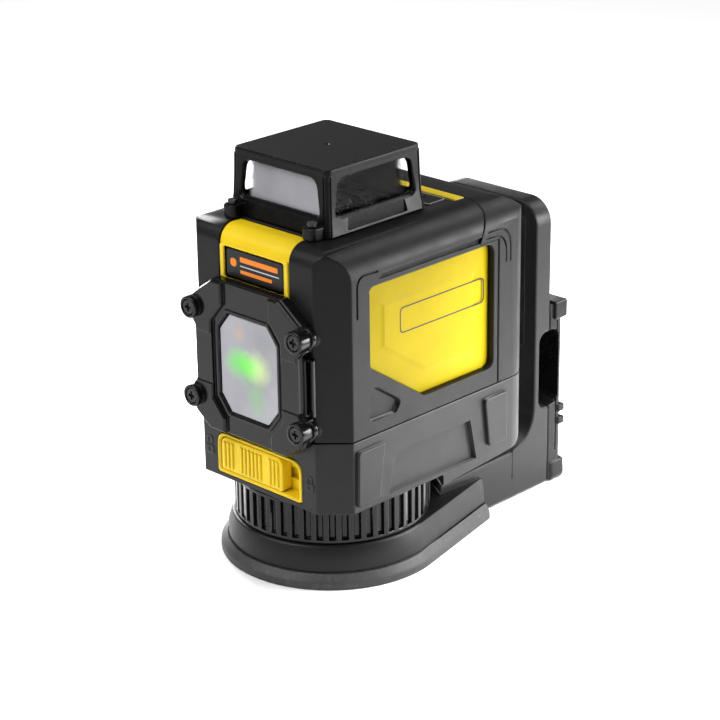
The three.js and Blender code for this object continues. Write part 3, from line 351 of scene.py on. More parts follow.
# %% Hazy glass
def spot(tree, place, centre, size, core):
    """1 in the core of an ellipsoid, given in millimetres from the swivel axis, falling to 0 at its rim."""
    centre = (centre[0] * MM, (centre[1] + AXIS_Y) * MM, centre[2] * MM)
    scale = tuple(1 / (s * MM) for s in size)
    shift = tuple(-c * k for c, k in zip(centre, scale))
    moved = add_node(tree, "Mapping", Vector=place, Location=shift, Scale=scale).outputs[0]
    distance = add_node(tree, "VectorMath", operation="LENGTH", _0=moved).outputs["Value"]
    return remap(tree, distance, core, 1.0, 1, 0)


def hazy_glass(name, tint, haze, clear_places=(), glows=(), strength=1.0, coat=0.5):
    """Hazy glass: a pale veil that thins to clear in some places, with glowing spots painted in as if lit from
    behind.
    """
    material, tree, shader = new_material(name)
    place = add_node(tree, "TexCoord").outputs["Object"]
    cloud = noise(tree, place, 22, 2, 0.5)
    warp = add_node(tree, "TexNoise", Vector=place, Scale=1 / (5 * MM), Detail=2.0).outputs["Color"]
    centred = add_node(tree, "VectorMath", operation="SUBTRACT", _0=warp, _1=(0.5, 0.5, 0.5)).outputs[0]
    bent = add_node(tree, "VectorMath", operation="MULTIPLY_ADD", _0=centred, _1=(4 * MM,) * 3, _2=place).outputs[0]
    body = blend(tree, remap(tree, cloud, 0.35, 0.65, 0, 1), tint, scaled(tint, 1.2))
    veil = remap(tree, cloud, 0.3, 0.7, haze - 0.06, min(haze + 0.06, 1))
    for centre, size in clear_places:
        hazy = maths(tree, "SUBTRACT", 1.0, spot(tree, bent, centre, size, 0.7))
        veil = maths(tree, "MULTIPLY", veil, hazy)
    light = (0, 0, 0, 1)
    for centre, size, colour in glows:
        mask = maths(tree, "POWER", spot(tree, bent, centre, size, 0.0), 1.15)
        light = blend(tree, mask, light, colour)
        # The base colour also takes the glow's tint there: painted light.
        body = blend(tree, mask, body, scaled(colour, 0.5))
    if glows:
        feed(tree, shader, Emission_Color=light, Emission_Strength=strength)
    matt = remap(tree, noise(tree, place, 14, 5, 0.7), 0.4, 0.7, 0.14, 0.22)
    feed(tree, shader, Base_Color=body, Roughness=matt, Specular_IOR_Level=coat, Coat_Weight=coat,
         Coat_Roughness=0.03)
    front = thin_pane(tree, (0.95, 0.96, 0.97, 1), 0.03, 0.03, 0.5)
    show(tree, add_node(tree, "MixShader", _0=veil, _1=front.outputs[0], _2=shader.outputs[0]))
    return material


LILAC, DARK_PANE_TINT = (0.31, 0.31, 0.34, 1), (0.008, 0.008, 0.009, 1)
WINDOW_GLOWS = [  # centre, size and colour: faint green below, orange above, yellow-green, green
    ((3.6, -40, 73.0), (7, 9, 9), (0.24, 0.42, 0.22, 1)),
    ((-4.5, -40, 96.5), (4.5, 9, 5), (0.46, 0.32, 0.26, 1)),
    ((3.8, -40, 84.6), (9, 9, 8), (0.66, 0.85, 0.34, 1)),
    ((-3.2, -40, 83.8), (10.5, 9, 7.5), (0.08, 0.8, 0.01, 1)),
]
MILKY_WINDOW = hazy_glass("milky_window", LILAC, 0.94, glows=WINDOW_GLOWS, strength=0.7, coat=0.22)
FRONT_PANE = hazy_glass("milky_pane", LILAC, 0.82, [((-21, -21, 147), (5.5, 9, 14))])
# The rear and left panes are near-black: a painted shade for the inside of the cage, with a few clear places.
DARK_PANE_CLEAR = [((-21, 21, 147), (7.5, 7.5, 14)), ((-21, -21, 147), (6.5, 6.5, 14)), ((21, 21, 147), (6.5, 6.5, 14))]
DARK_PANE = hazy_glass("smoked_pane", DARK_PANE_TINT, 0.93, DARK_PANE_CLEAR, coat=0.06)
print("hazy glass ready")

# %% Finish of each slot
FINISH = {
    "housing_grey": HOUSING, "black_plastic": BLACK, "gloss_black": GLOSS, "bracket_plastic": BRACKET,
    "sole_rubber": SOLE, "button_rubber": SOFT, "badge_yellow": BADGE, "trim_yellow": TRIM, "steel": STEEL,
    "magnet_steel": MAGNET, "black_steel": BLACK_STEEL, "brass": BRASS, "aluminium": ALUMINIUM,
    "cone_mirror": MIRROR, "clear_glass": PANE, "circuit_green": BOARD, "cell_wrap": WRAP,
}
slots = {entry["node"]: entry["material_slot"] for entry in record["subparts"]}
body_of = {node: body for body, nodes in record["behaviour"]["bodies"].items() for node in nodes}
print("finishes:", len(FINISH))

# %% [markdown]
# ## Rounded mouldings
# A mould has no knife edges: every edge of a real moulding is rounded by a few tenths of a
# millimetre, and that rounding is what catches the light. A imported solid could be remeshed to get
# this, but that blurs fine grooves. Here its triangles are joined back into flat faces, the sharp
# edges are found by their angle, and only those are bevelled. Every finished piece then goes to its
# body and its slot through one helper, so that none is forgotten.

# %% Rounding helpers
SHARP_TURN = math.radians(28)


def solid_copy(node):
    """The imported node's solid as a bmesh, with its triangles joined into flat faces."""
    bm = bmesh.new()
    bm.from_mesh(frame["nodes"][node].data)
    bmesh.ops.remove_doubles(bm, verts=bm.verts, dist=0.004 * MM)
    bmesh.ops.dissolve_degenerate(bm, dist=0.004 * MM, edges=bm.edges)
    bmesh.ops.dissolve_limit(bm, angle_limit=math.radians(0.6), verts=bm.verts, edges=bm.edges)
    return bm


def round_edges(bm, radius, keep=None):
    """Bevels the sharp edges where their neighbours leave room for it."""
    def roomy(edge):
        near = [e for v in edge.verts for e in v.link_edges]
        return min(e.calc_length() for e in near) > radius * MM * 1.3

    sharp = [e for e in bm.edges if len(e.link_faces) == 2
             and e.calc_face_angle(0) > SHARP_TURN and (keep is None or keep(e))]
    wide = [e for e in sharp if roomy(e)]
    bmesh.ops.bevel(bm, geom=wide, offset=radius * MM, offset_type="OFFSET", segments=2, profile=0.5,
                    affect="EDGES", clamp_overlap=False, miter_outer="ARC")
    return len(wide), len(sharp)


# %% Placing a piece
def place_piece(name, bm, body, slot, *nodes, finish=None):
    """A finished piece: its mesh, its body, its slot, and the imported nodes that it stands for."""
    mesh = bpy.data.meshes.new(name)
    bmesh.ops.recalc_face_normals(bm, faces=bm.faces)
    bm.to_mesh(mesh)
    bm.free()
    obj = link(name, mesh)
    mesh.materials.append(finish or FINISH[slot])
    mesh.shade_smooth()
    mesh.set_sharp_from_angle(angle=math.radians(34))
    weigh = obj.modifiers.new("even_shading", "WEIGHTED_NORMAL")
    weigh.keep_sharp, weigh.weight = True, 60
    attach(obj, body)
    if nodes:
        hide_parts(*nodes)
    print(name, "has", len(mesh.polygons), "faces")
    return obj


# %% [markdown]
# ## Shapes from outlines
# Most mouldings here are flat outlines with thickness. A stack joins the same outline at several
# levels, drawn in a little more at each one, so a rounded or sloping edge is part of the form from
# the start. Lathes, unions and cuts do the rest. All of it is in millimetres from the swivel axis.

# %% Outlines
def extent(node):
    """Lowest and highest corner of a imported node, in millimetres from the swivel axis."""
    low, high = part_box(node)
    shift = Vector((0, AXIS_Y, 0))
    return Vector(low) / MM - shift, Vector(high) / MM - shift


def in_frame(point):
    """A point in millimetres from the swivel axis, in the frame's metres."""
    return (Vector(point) + Vector((0, AXIS_Y, 0))) * MM


def mirror_x(corners):
    """Right half corners, followed by their mirror images."""
    return corners + [(-c[0],) + tuple(c[1:]) for c in reversed(corners)]


def oblong(left, low, right, high, radius):
    return [(left, low, radius), (right, low, radius), (right, high, radius), (left, high, radius)]


def signed_area(corners):
    return sum(a[0] * b[1] - b[0] * a[1] for a, b in zip(corners, corners[1:] + corners[:1])) / 2


def outline(corners, inward, steps):
    """The points of a polygon whose corners are (u, v) or (u, v, radius), drawn in by a distance."""
    side = 1 if signed_area(corners) > 0 else -1
    points = []
    for i, corner in enumerate(corners):
        after = corners[(i + 1) % len(corners)]
        here, before, after = (Vector(c[:2]) for c in (corner, corners[i - 1], after))
        a, b = (here - before).normalized(), (after - here).normalized()
        turn = a.angle_signed(b, 0) * -side
        normal_a, normal_b = Vector((-a.y, a.x)) * side, Vector((-b.y, b.x)) * side
        middle = (normal_a + normal_b).normalized()
        tip = here + middle * inward / max(middle.dot(normal_a), 0.25)
        if len(corner) < 3:
            points.append(tip)
            continue
        radius = max(corner[2] - inward * (1 if turn > 0 else -1), 0.05)
        run = radius * math.tan(abs(turn) / 2)
        start, end = tip - a * run, tip + b * run
        for s in range(steps + 1):
            t = s / steps
            points.append(start.lerp(tip, t).lerp(tip.lerp(end, t), t))
    return points


# %% Stacks and lathes
AXES = {"x": lambda u, v, w: (w, u, v), "y": lambda u, v, w: (u, w, v), "z": lambda u, v, w: (u, v, w)}


def new_solid(rings):
    """A closed surface through rings of points in millimetres, with its ends capped."""
    bm = bmesh.new()
    rows = [[bm.verts.new(in_frame(p)) for p in ring] for ring in rings]
    for low, high in zip(rows, rows[1:]):
        for i in range(len(low)):
            j = (i + 1) % len(low)
            bm.faces.new((low[i], low[j], high[j], high[i]))
    bm.faces.new(rows[0][::-1])
    bm.faces.new(rows[-1])
    bmesh.ops.remove_doubles(bm, verts=bm.verts, dist=0.002 * MM)
    bmesh.ops.recalc_face_normals(bm, faces=bm.faces)
    return bm


def stack(corners, levels, axis="z", steps=5):
    """One outline through levels of (place along the axis, drawn in by)."""
    return new_solid([[AXES[axis](p.x, p.y, level) for p in outline(corners, inward, steps)]
                      for level, inward in levels])


def rounding(level, radius, way):
    """Levels that round an edge off up to a face. way is 1 for the upper face, -1 for the lower."""
    turns = [math.pi / 2 * s / 3 for s in range(4)]
    found = [(level - way * radius * (1 - math.sin(t)), radius * (1 - math.cos(t))) for t in turns]
    return found if way > 0 else found[::-1]


def slab(corners, low, high, axis="z", low_round=0.0, high_round=0.0, steps=5):
    """An outline with thickness, its two rims rounded."""
    start = rounding(low, low_round, -1) if low_round else [(low, 0)]
    end = rounding(high, high_round, 1) if high_round else [(high, 0)]
    return stack(corners, start + end, axis, steps)


def box(low, high, radius=0.0):
    """A box between two corners, its edges sharp or rounded."""
    corners = oblong(*low[:2], *high[:2], radius)
    if not radius:
        corners = [corner[:2] for corner in corners]
    return slab(corners, low[2], high[2], "z", radius, radius, 3)


def side_box(side, near, far, low, high):
    """A box on one side, from near to far out from the axis, between two (y, z) corners."""
    start, end = sorted((side * near, side * far))
    return box((start, *low), (end, *high))


def lathe(profile, axis="z", centre=(0, 0), segments=40):
    """A turned solid from (radius, level) points that start and end on the axis."""
    bm = bmesh.new()
    rows = []
    for radius, level in profile:
        angles = [2 * math.pi * k / segments for k in range(segments if radius > 0 else 1)]
        ring = [(centre[0] + radius * math.cos(t), centre[1] + radius * math.sin(t)) for t in angles]
        rows.append([bm.verts.new(in_frame(AXES[axis](u, v, level))) for u, v in ring])
    for low, high in zip(rows, rows[1:]):
        for i in range(segments):
            j = (i + 1) % segments
            face = [low[i % len(low)], low[j % len(low)], high[j % len(high)], high[i % len(high)]]
            bm.faces.new(list(dict.fromkeys(face)))
    bmesh.ops.recalc_face_normals(bm, faces=bm.faces)
    return bm


def drill(radius, low, high, axis="z", centre=(0, 0), segments=40):
    """A plain round tool."""
    return lathe([(0, low), (radius, low), (radius, high), (0, high)], axis, centre, segments)


# %% Unions and cuts
def to_object(bm):
    mesh = bpy.data.meshes.new("work")
    bm.to_mesh(mesh)
    bm.free()
    return link("work", mesh)


def combine(first, others, how):
    """A union, cut or overlap of bmeshes, one after the other, by the fast solver if it can."""
    base = to_object(first)
    for bm in others:
        tool = to_object(bm)
        change = base.modifiers.new("combine", "BOOLEAN")
        change.operation, change.object = how, tool
        for solver in ("MANIFOLD", "EXACT"):
            change.solver = solver
            graph = bpy.context.evaluated_depsgraph_get()
            done = bpy.data.meshes.new_from_object(base.evaluated_get(graph))
            if done.polygons:
                break
        base.modifiers.clear()
        base.data = done
        bpy.data.objects.remove(tool)
    result = bmesh.new()
    result.from_mesh(base.data)
    bpy.data.objects.remove(base)
    return result


def union(first, *others):
    return combine(first, others, "UNION")


def cut(first, *others):
    return combine(first, others, "DIFFERENCE")


print("shape helpers ready")

# %% [markdown]
# ## Housing, bracket and other rounded mouldings
# The imported solids have knife edges, and real mouldings don't. Each one is copied, its sharp edges
# are rounded, and the finer relief is then cut or added: grooves, raised panels and the tabs on the
# wall block. Cutting after the rounding keeps the small features crisp.

# %% Relief helpers
SIDE_FACE = extent("upper_shell")[1].x


def groove_outline(points, width, steps=5):
    """The closed outline of a groove that follows an open line, given as (u, v, radius) corners."""
    line = [Vector(points[0][:2])]
    for before, here, after in zip(points, points[1:], points[2:]):
        tip, run = Vector(here[:2]), here[2]
        a, b = (Vector(before[:2]) - tip).normalized(), (Vector(after[:2]) - tip).normalized()
        for k in range(steps + 1):
            t = k / steps
            line.append((tip + a * run * (1 - t)).lerp(tip + b * run * t, t))
    line.append(Vector(points[-1][:2]))
    sides = []
    for k, point in enumerate(line):
        along = (line[min(k + 1, len(line) - 1)] - line[max(k - 1, 0)]).normalized()
        across = Vector((-along.y, along.x)) * width / 2
        sides.append((point + across, point - across))
    return [tuple(left) for left, _ in sides] + [tuple(right) for _, right in reversed(sides)]


def on_both_sides(corners, levels):
    """The same stack on the right and left flank. Levels are (distance out from the axis, drawn in by)."""
    return [stack(corners, [(side * x, inward) for x, inward in levels], "x", 4) for side in (1, -1)]


def sunk(corners, depth, slope):
    """Tools that cut this outline into both flanks, with sloping walls."""
    return on_both_sides(corners, [(SIDE_FACE - depth, slope), (SIDE_FACE, 0), (SIDE_FACE + 1.5, -slope)])


def raised(corners, height, slope=0.5):
    """Panels of this outline that stand proud of both flanks, with a rounded rim."""
    top = SIDE_FACE + height
    return on_both_sides(corners, [(SIDE_FACE - 1, -0.12), (top - slope, -0.12),
                                   (top - slope * 0.3, slope * 0.25), (top, slope)])


# %% Relief of the housing
# Outlines as (y, z, corner radius).
CHEEK = [(-18.3, 81, 2.2), (-20.3, 66.9, 2), (-6.5, 66.6, 2.4), (-3.2, 70.7, 2.4)]
FRONT_PANEL = [(-27.3, 57.4, 1.5), (-27.7, 36, 1.5), (-16.6, 36, 0.6), (-13.5, 57.4, 0.6)]
MIDDLE_PANEL = [(-5.6, 51, 1.2), (-7.4, 48.6, 0.6), (-10.5, 34.8, 0.6), (37.8, 34.2, 0.6), (34.2, 51, 1.2)]
REAR_PANEL = [(41.4, 57.3, 1.5), (43.9, 37.5, 1.5), (54, 37.5, 0.6), (54, 57.3, 0.6)]
LEFT_ARC = groove_outline([(-26, 108), (-26, 124, 5), (-15, 123.4)], 0.9)
RIGHT_ARCS = [groove_outline([(43.8 - k, top), (end, top, 8), (end, 109)], 0.9)
              for k, top, end in ((0, 123.2, 56.6), (1, 121.0, 54.2))]
LEDGE = [(-15.5, 120.0, 0.4), (-12.8, 122.3, 0.6), (41, 122.3, 0.6), (43.5, 120.0, 0.4)]


def side_grooves():
    """A new set of tools at each call, because a cut uses its tools up."""
    return [tool for shape in (LEFT_ARC, *RIGHT_ARCS) for tool in sunk(shape, 0.75, 0.1)]


door_back = extent("battery_door")[1].y
door_grips = [box((-11, door_back - 0.7, z - 0.55), (11, door_back + 1, z + 0.55), 0.3)
              for z in (80.5, 83, 85.5, 88, 90.5)]
print("housing relief ready")

# %% Relief of the bracket
block_low, block_high = extent("wall_block")
arm_back = extent("bracket_frame")[1].y
BLOCK_X, BLOCK_BACK, BLOCK_FRONT = block_high.x, block_high.y, block_low.y + 1.5
PLATE_GAP = BLOCK_BACK - 4.2


def block_bar(out, front, back, low, high, radius):
    """A rounded bar across the block, a little wider than it."""
    return box((-BLOCK_X - out, BLOCK_BACK - front, low), (BLOCK_X + out, BLOCK_BACK + back, high), radius)


def block_hole(node, radius):
    """Clean room for a magnet or a screw head in the back of the block."""
    low, high = extent(node)
    depths = (radius, -0.9), (radius, 0.1), (radius + 0.35, 0.5), (radius + 0.35, 3)
    profile = [(0, -0.9), *depths, (0, 3)]
    centre = (low.x + high.x) / 2, (low.z + high.z) / 2
    return lathe([(r, BLOCK_BACK + depth) for r, depth in profile], "y", centre)


block_tab = block_bar(1.2, 6.5, 0.8, block_high.z - 7, block_high.z + 0.6, 0.9)
block_bumps = [block_bar(0.9, 3.4, 0.5, z - 1.7, z + 1.7, 0.8) for z in (31, 25.5)]
block_flare = stack(oblong(-BLOCK_X, BLOCK_FRONT, BLOCK_X, BLOCK_BACK, 1), [
    (block_low.z, -0.7), (block_low.z + 1.2, -1.2), (block_low.z + 7.2, -1.0), (block_low.z + 8.3, 0.2)])
block_holes = [block_hole(f"wall_magnet_{i}", 4.75) for i in (1, 2, 3, 4)]
block_holes += [block_hole(f"bracket_screw_{i}", 3.1) for i in (1, 2)]
gap_corners = (PLATE_GAP - 0.35, 13), (PLATE_GAP + 0.35, block_high.z - 7.2)
plate_gap = [side_box(side, BLOCK_X - 1.1, BLOCK_X + 2, *gap_corners) for side in (1, -1)]
arm_seam = [side_box(side, 25.5, 40, (74.6, 9), (75.1, 32)) for side in (1, -1)]
upright_dish = [slab(oblong(-20.5, 82, 20.5, 114.5, 3.5), arm_back - 0.9, arm_back + 2, "y"),
                slab(oblong(-20.5, 60, 20.5, 114.5, 3.5), 84, 88.9, "y")]
RELIEF = {
    "battery_door": ([], door_grips),
    "upper_shell": ([], [*sunk(CHEEK, 1.5, 0.7), *sunk(LEDGE, 1.0, 0.2), *side_grooves()]),
    "rear_cover": ([], side_grooves()),
    "lower_shell": ([*raised(FRONT_PANEL, 1.5), *raised(REAR_PANEL, 1.5)], sunk(MIDDLE_PANEL, 1.7, 0.6)),
    "wall_block": ([block_tab, *block_bumps, block_flare], [*plate_gap, *block_holes]),
    "bracket_frame": ([], [*arm_seam, *upright_dish]),
}
print("relief on", list(RELIEF))

# %% Rounded pieces
EDGE_RADII = {
    "upper_shell": 0.5, "lower_shell": 0.5, "rear_cover": 0.5, "battery_door": 0.5, "top_trim": 0.4,
    "keypad_panel": 0.25, "line_button_left": 0.5, "line_button_right": 0.5, "swivel_ring": 0.35,
    "base_sole": 0.5, "bracket_frame": 0.9, "wall_block": 0.6,
}
OWN_FINISH = {"swivel_ring": GLOSS, "lower_shell": LOWER_LIT_GREY}


def open_edges(bm):
    """Edges that don't join exactly two faces: none, in a closed solid."""
    return sum(len(edge.link_faces) != 2 for edge in bm.edges)


def off_the_panels(edge):
    """False for the lower shell's panel edges, which are rounded by the relief that covers them."""
    def on_a_panel(vert):
        x, y, z = vert.co / MM
        return abs(x) > 39 and -29 < y - AXIS_Y < 56 and 34 < z < 60

    return not all(on_a_panel(vert) for vert in edge.verts)


def rounded(node, radius):
    """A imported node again, with its sharp edges rounded, and then its finer relief."""
    bm = solid_copy(node)
    done, found = round_edges(bm, radius, keep=off_the_panels if node == "lower_shell" else None)
    bmesh.ops.recalc_face_normals(bm, faces=bm.faces)
    gaps = [open_edges(bm)]
    added, removed = RELIEF.get(node, ((), ()))
    if added:
        bm = union(bm, *added)
    if removed:
        bm = cut(bm, *removed)
    gaps.append(open_edges(bm))
    print(node, "rounded", done, "of", found, "edges, open edges before and after relief", gaps)
    place_piece(node + "_moulding", bm, body_of[node], slots[node], node, finish=OWN_FINISH.get(node))


for name, radius in EDGE_RADII.items():
    rounded(name, radius)

# %% [markdown]
# ## Front window bezel
# The bezel is a thick octagonal frame. Two C-shaped pads stand proud of it left and right, split by a
# lower middle step, and four screw bosses stick out at the corners. Each element is made as its own
# slab with rounded rims, so the edges stay crisp after the union; rounding the finished union would
# fail where its edges crowd together.

# %% Bezel sizes
bezel_low, bezel_high = extent("window_bezel")
BOSS_FRONT, BEZEL_BACK, BEZEL_TOP, BEZEL_BOTTOM = bezel_low.y, bezel_high.y, bezel_high.z, bezel_low.z
BEZEL_FRONT = BEZEL_BACK - 3.7
PAD_FRONT = BEZEL_FRONT - 1.6
BOSS_X = extent("bezel_screw_1")[0].x + 2.7
BOSS_Z = [extent(f"bezel_screw_{i}")[0].z + 2.7 for i in (1, 3)]
STEP_TOP, STEP_BOTTOM = 93.0, 73.0
LUG, SIDE = BOSS_X + 2, 27.3
WINDOW_HALF, WINDOW_LOW, WINDOW_HIGH = 15.2, 63.5, 102.5
WINDOW = mirror_x([(10.0, WINDOW_HIGH, 0.8), (WINDOW_HALF, WINDOW_HIGH - 6.5, 0.8),
                   (WINDOW_HALF, WINDOW_LOW + 6.5, 0.8), (10.0, WINDOW_LOW, 0.8)])
BEZEL = mirror_x([
    (17.5, BEZEL_TOP, 1.5), (LUG - 1.5, BEZEL_TOP - 7.5, 1), (LUG, BEZEL_TOP - 10, 1), (LUG, STEP_TOP + 4.2, 1),
    (SIDE, STEP_TOP + 1.5, 1), (SIDE, STEP_BOTTOM + 0.5, 1), (LUG, STEP_BOTTOM - 2.2, 1),
    (LUG, BEZEL_BOTTOM + 9, 1), (LUG - 1.5, BEZEL_BOTTOM + 5.5, 1), (20, BEZEL_BOTTOM, 1.5)])
print("bezel thickness:", round(BEZEL_BACK - BEZEL_FRONT, 1), "mm")


# %% Parts of the bezel
def widened(corners, by):
    """The window's outline with every corner moved out, or in by a negative distance."""
    middle = (WINDOW_LOW + WINDOW_HIGH) / 2
    return [(x + by * math.copysign(1, x), z + by * math.copysign(1, z - middle), radius)
            for x, z, radius in corners]


def bezel_pad(side):
    """The C-shaped pad of one side, split by its lower middle step."""
    corners = [
        (12.2, BEZEL_TOP - 0.5, 0.4), (12.2, WINDOW_HIGH + 2.6, 1), (18.2, WINDOW_HIGH - 4.4, 1.5),
        (18.2, WINDOW_LOW + 4.4, 1.5), (12.2, WINDOW_LOW - 2.6, 1), (12.2, BEZEL_BOTTOM + 0.5, 0.4),
        (20.1, BEZEL_BOTTOM + 0.5, 1), (LUG - 2, BEZEL_BOTTOM + 5.9, 1), (LUG - 0.5, BEZEL_BOTTOM + 9.2, 1),
        (LUG - 0.5, STEP_BOTTOM - 2.4, 1), (SIDE - 0.5, STEP_BOTTOM + 0.4, 1), (SIDE - 0.5, STEP_TOP + 1.6, 1),
        (LUG - 0.5, STEP_TOP + 4.4, 1), (LUG - 0.5, BEZEL_TOP - 10.2, 1), (LUG - 2, BEZEL_TOP - 7.9, 1),
        (17.4, BEZEL_TOP - 0.5, 1)]
    front = [(PAD_FRONT, 0.75), (PAD_FRONT + 0.12, 0.42), (PAD_FRONT + 0.45, 0.12), (PAD_FRONT + 0.9, 0)]
    pad = stack([(side * c[0],) + c[1:] for c in corners], front + [(BEZEL_FRONT + 0.6, -0.15)], "y", 3)
    return cut(pad, side_box(side, 12, 40, (PAD_FRONT - 1, STEP_BOTTOM), (PAD_FRONT + 0.55, STEP_TOP)))


def screw_boss(x, z):
    """A boss with a well for the screw head, a neck and a rear flange."""
    profile = [(0, 1.9), (3.05, 1.9), (3.05, 0.3), (3.3, 0), (3.8, 0), (4.15, 0.15), (4.3, 0.5), (4.3, 4.3),
               (4.15, 4.6), (3.6, 4.8), (3.6, 5.6), (4.3, 5.8), (4.5, 6.1)]
    foot = [(4.5, BEZEL_BACK - 0.2), (4.3, BEZEL_BACK), (0, BEZEL_BACK)]
    return lathe([(radius, BOSS_FRONT + depth) for radius, depth in profile] + foot, "y", (x, z))


def side_rib(side, width, depth, x):
    """An upright rib outside the pad."""
    near, far, low, high = side * x, side * (x + width), STEP_BOTTOM - 1, STEP_TOP + 1
    corners = [(near, low, 0.5), (near, high, 0.5), (far, high, 0.5), (far, low, 0.5)]
    return slab(corners, BEZEL_BACK - depth, BEZEL_BACK, "y", 0.35, 0, 2)


def end_bar(side, z):
    """A short bar that joins the ends of the ribs."""
    corners = oblong(side * (SIDE - 1), z - 0.6, side * (SIDE + 3.4), z + 0.6, 0.3)
    return slab(corners, BEZEL_BACK - 0.9, BEZEL_BACK, "y", 0.2)


# %% Bezel
plate = slab(BEZEL, BEZEL_FRONT, BEZEL_BACK, "y", 0.7)
lip = slab(mirror_x([(11.2, WINDOW_HIGH + 1.5, 1), (WINDOW_HALF + 1.5, WINDOW_HIGH - 5.6, 1),
                     (WINDOW_HALF + 1.5, WINDOW_LOW + 5.6, 1), (11.2, WINDOW_LOW - 1.5, 1)]),
           BEZEL_FRONT - 0.55, BEZEL_FRONT + 1, "y", 0.3)
boss_places = [(x, z) for x in (BOSS_X, -BOSS_X) for z in BOSS_Z]
ribs = [side_rib(side, *size) for side in (1, -1) for size in ((1.7, 2.6, SIDE - 0.6), (1.5, 1.3, SIDE + 2.1))]
bars = [end_bar(side, z) for side in (1, -1) for z in (STEP_BOTTOM - 0.4, STEP_TOP + 0.4)]
bezel = union(plate, lip, bezel_pad(1), bezel_pad(-1), *ribs, *bars)
opening = stack(WINDOW, [(PAD_FRONT - 2, -0.9), (BEZEL_FRONT - 0.6, -0.6), (BEZEL_FRONT + 0.3, 0),
                         (BEZEL_BACK + 1, 0)], "y")
rebate = slab(widened(WINDOW, 2.2), BEZEL_BACK - 1.8, BEZEL_BACK + 1, "y")
boss_room = [drill(4.2, BOSS_FRONT - 1, BEZEL_BACK + 1, "y", place, 36) for place in boss_places]
bezel = union(cut(bezel, opening, rebate, *boss_room), *[screw_boss(*place) for place in boss_places])
place_piece("front_window_bezel", bezel, "instrument", "gloss_black", "window_bezel")

# %% [markdown]
# ## Lens cage
# The cage over the upper laser is one black moulding: a flat cap on four posts that flare down into a
# skirt. It could be four posts and a lid, but the real one has no joints, so it is a flared shell
# whose windows are cut through from both sides. The cutters widen outwards, which leaves the sloping
# window frames. Twin flutes run down each corner.

# %% Cage helpers
cage_low, cage_high = extent("lens_cage")
CAGE_FOOT, CAGE_HEAD, CAGE_Z, CAP_Z = cage_high.x, 24.2, cage_low.z, cage_high.z
SHELL_TOP = extent("upper_shell")[1].z
SILL, HEAD = SHELL_TOP + 7.2, SHELL_TOP + 21


def square(half, radius):
    return [(x * half, y * half, radius) for x, y in ((1, 1), (-1, 1), (-1, -1), (1, -1))]


def corner_flute(sx, sy, side):
    """A thin slanted rod down a corner, a little to one side of the diagonal."""
    rings = []
    for z, half in ((CAGE_Z - 1, CAGE_FOOT - 0.2), (SILL, CAGE_FOOT - 1.1), (CAP_Z - 2.6, CAGE_HEAD + 0.02)):
        reach = half * math.sqrt(2) - 1.32
        middle = Vector((sx, sy, 0)).normalized() * reach + Vector((-sy, sx, 0)).normalized() * side * 1.05
        rings.append([middle + Vector((0.42 * math.cos(t), 0.42 * math.sin(t), z))
                      for t in (2 * math.pi * k / 10 for k in range(10))])
    return new_solid(rings)


def cage_window(axis, way):
    """A tool that opens one window and widens outwards."""
    sill = [(20.2, SILL, 2.2), (18.6, HEAD, 4.2)]
    reach = [(way * 30, -2.2), (way * 25.0, -1.1), (way * 24.0, -0.15), (way * 23.4, 0), (way * 15, 0)]
    return stack(mirror_x(sill), reach, axis)


WAYS = [(axis, way) for axis in "xy" for way in (1, -1)]
print("cage height:", round(CAP_Z - CAGE_Z, 1), "mm")

# %% Cage
flare = [(CAGE_Z, 0.3), (CAGE_Z + 0.3, 0), (CAGE_Z + 2.5, 0.3), (SILL, 0.95), (SILL + 7, 1.35), (CAP_Z - 2.2, 1.6)]
shell = stack(square(CAGE_FOOT, 3.2), flare, "z", 6)
cap = slab(square(CAGE_HEAD, 2.6), CAP_Z - 2.5, CAP_Z, "z", 0.35, 0.55, 6)
hollow = stack(square(CAGE_FOOT - 2.8, 2), [(CAGE_Z + 1.8, 0), (HEAD + 1, 1.3)])
well = drill(14.5, CAGE_Z - 1, CAGE_Z + 4)
dimple_profile = ((0, -0.45), (0.5, -0.4), (1.1, 0.02), (1.1, 1), (0, 1))
dimple = lathe([(radius, CAP_Z + depth) for radius, depth in dimple_profile], segments=24)
panels = [slab(mirror_x([(15.5, CAGE_Z + 1.2, 0.6), (14.6, SILL - 1.3, 0.6)]), *sorted((way * 24.75, way * 30)), axis)
          for axis, way in WAYS if (axis, way) != ("y", -1)]
screw_corner = extent("cage_screw_1")[0]
LUG_X, LUG_Y, LUG_HALF = screw_corner.x + 1.9, screw_corner.y + 1.9, 3.1
lug_profile = ((0, -1), (1.6, -1), (1.6, 4.1), (2.3, 4.2), (2.3, 9), (0, 9))
lugs, lug_holes = [], []
for x in (LUG_X, -LUG_X):
    left, right, inner = x - LUG_HALF, x + LUG_HALF, -CAGE_FOOT + 2
    corners = [(left, inner, 0.1), (left, cage_low.y, 2), (right, cage_low.y, 2), (right, inner, 0.1)]
    lugs.append(slab(corners, CAGE_Z, CAGE_Z + 4.6, "z", 0.2, 0.6))
    lug_holes.append(lathe([(r, CAGE_Z + level) for r, level in lug_profile], "z", (x, LUG_Y), 24))
cage = union(shell, cap, *lugs)
cage = cut(cage, hollow, well, dimple, *[cage_window(*way) for way in WAYS], *panels, *lug_holes)
cage = cut(cage, *[corner_flute(sx, sy, side) for sx in (1, -1) for sy in (1, -1) for side in (1, -1)])
place_piece("lens_cage_moulding", cage, "instrument", "black_plastic", "lens_cage")

# %% [markdown]
# ## Glass
# The window is hazy, and the laser behind it lights it green in the middle. The light is part of the
# glass's material, as soft spots at fixed places on it, because a real beam would need the optics
# lit from inside. The rear and left panes of the cage are painted near-black, a painted shade that
# makes the inside read as dark.

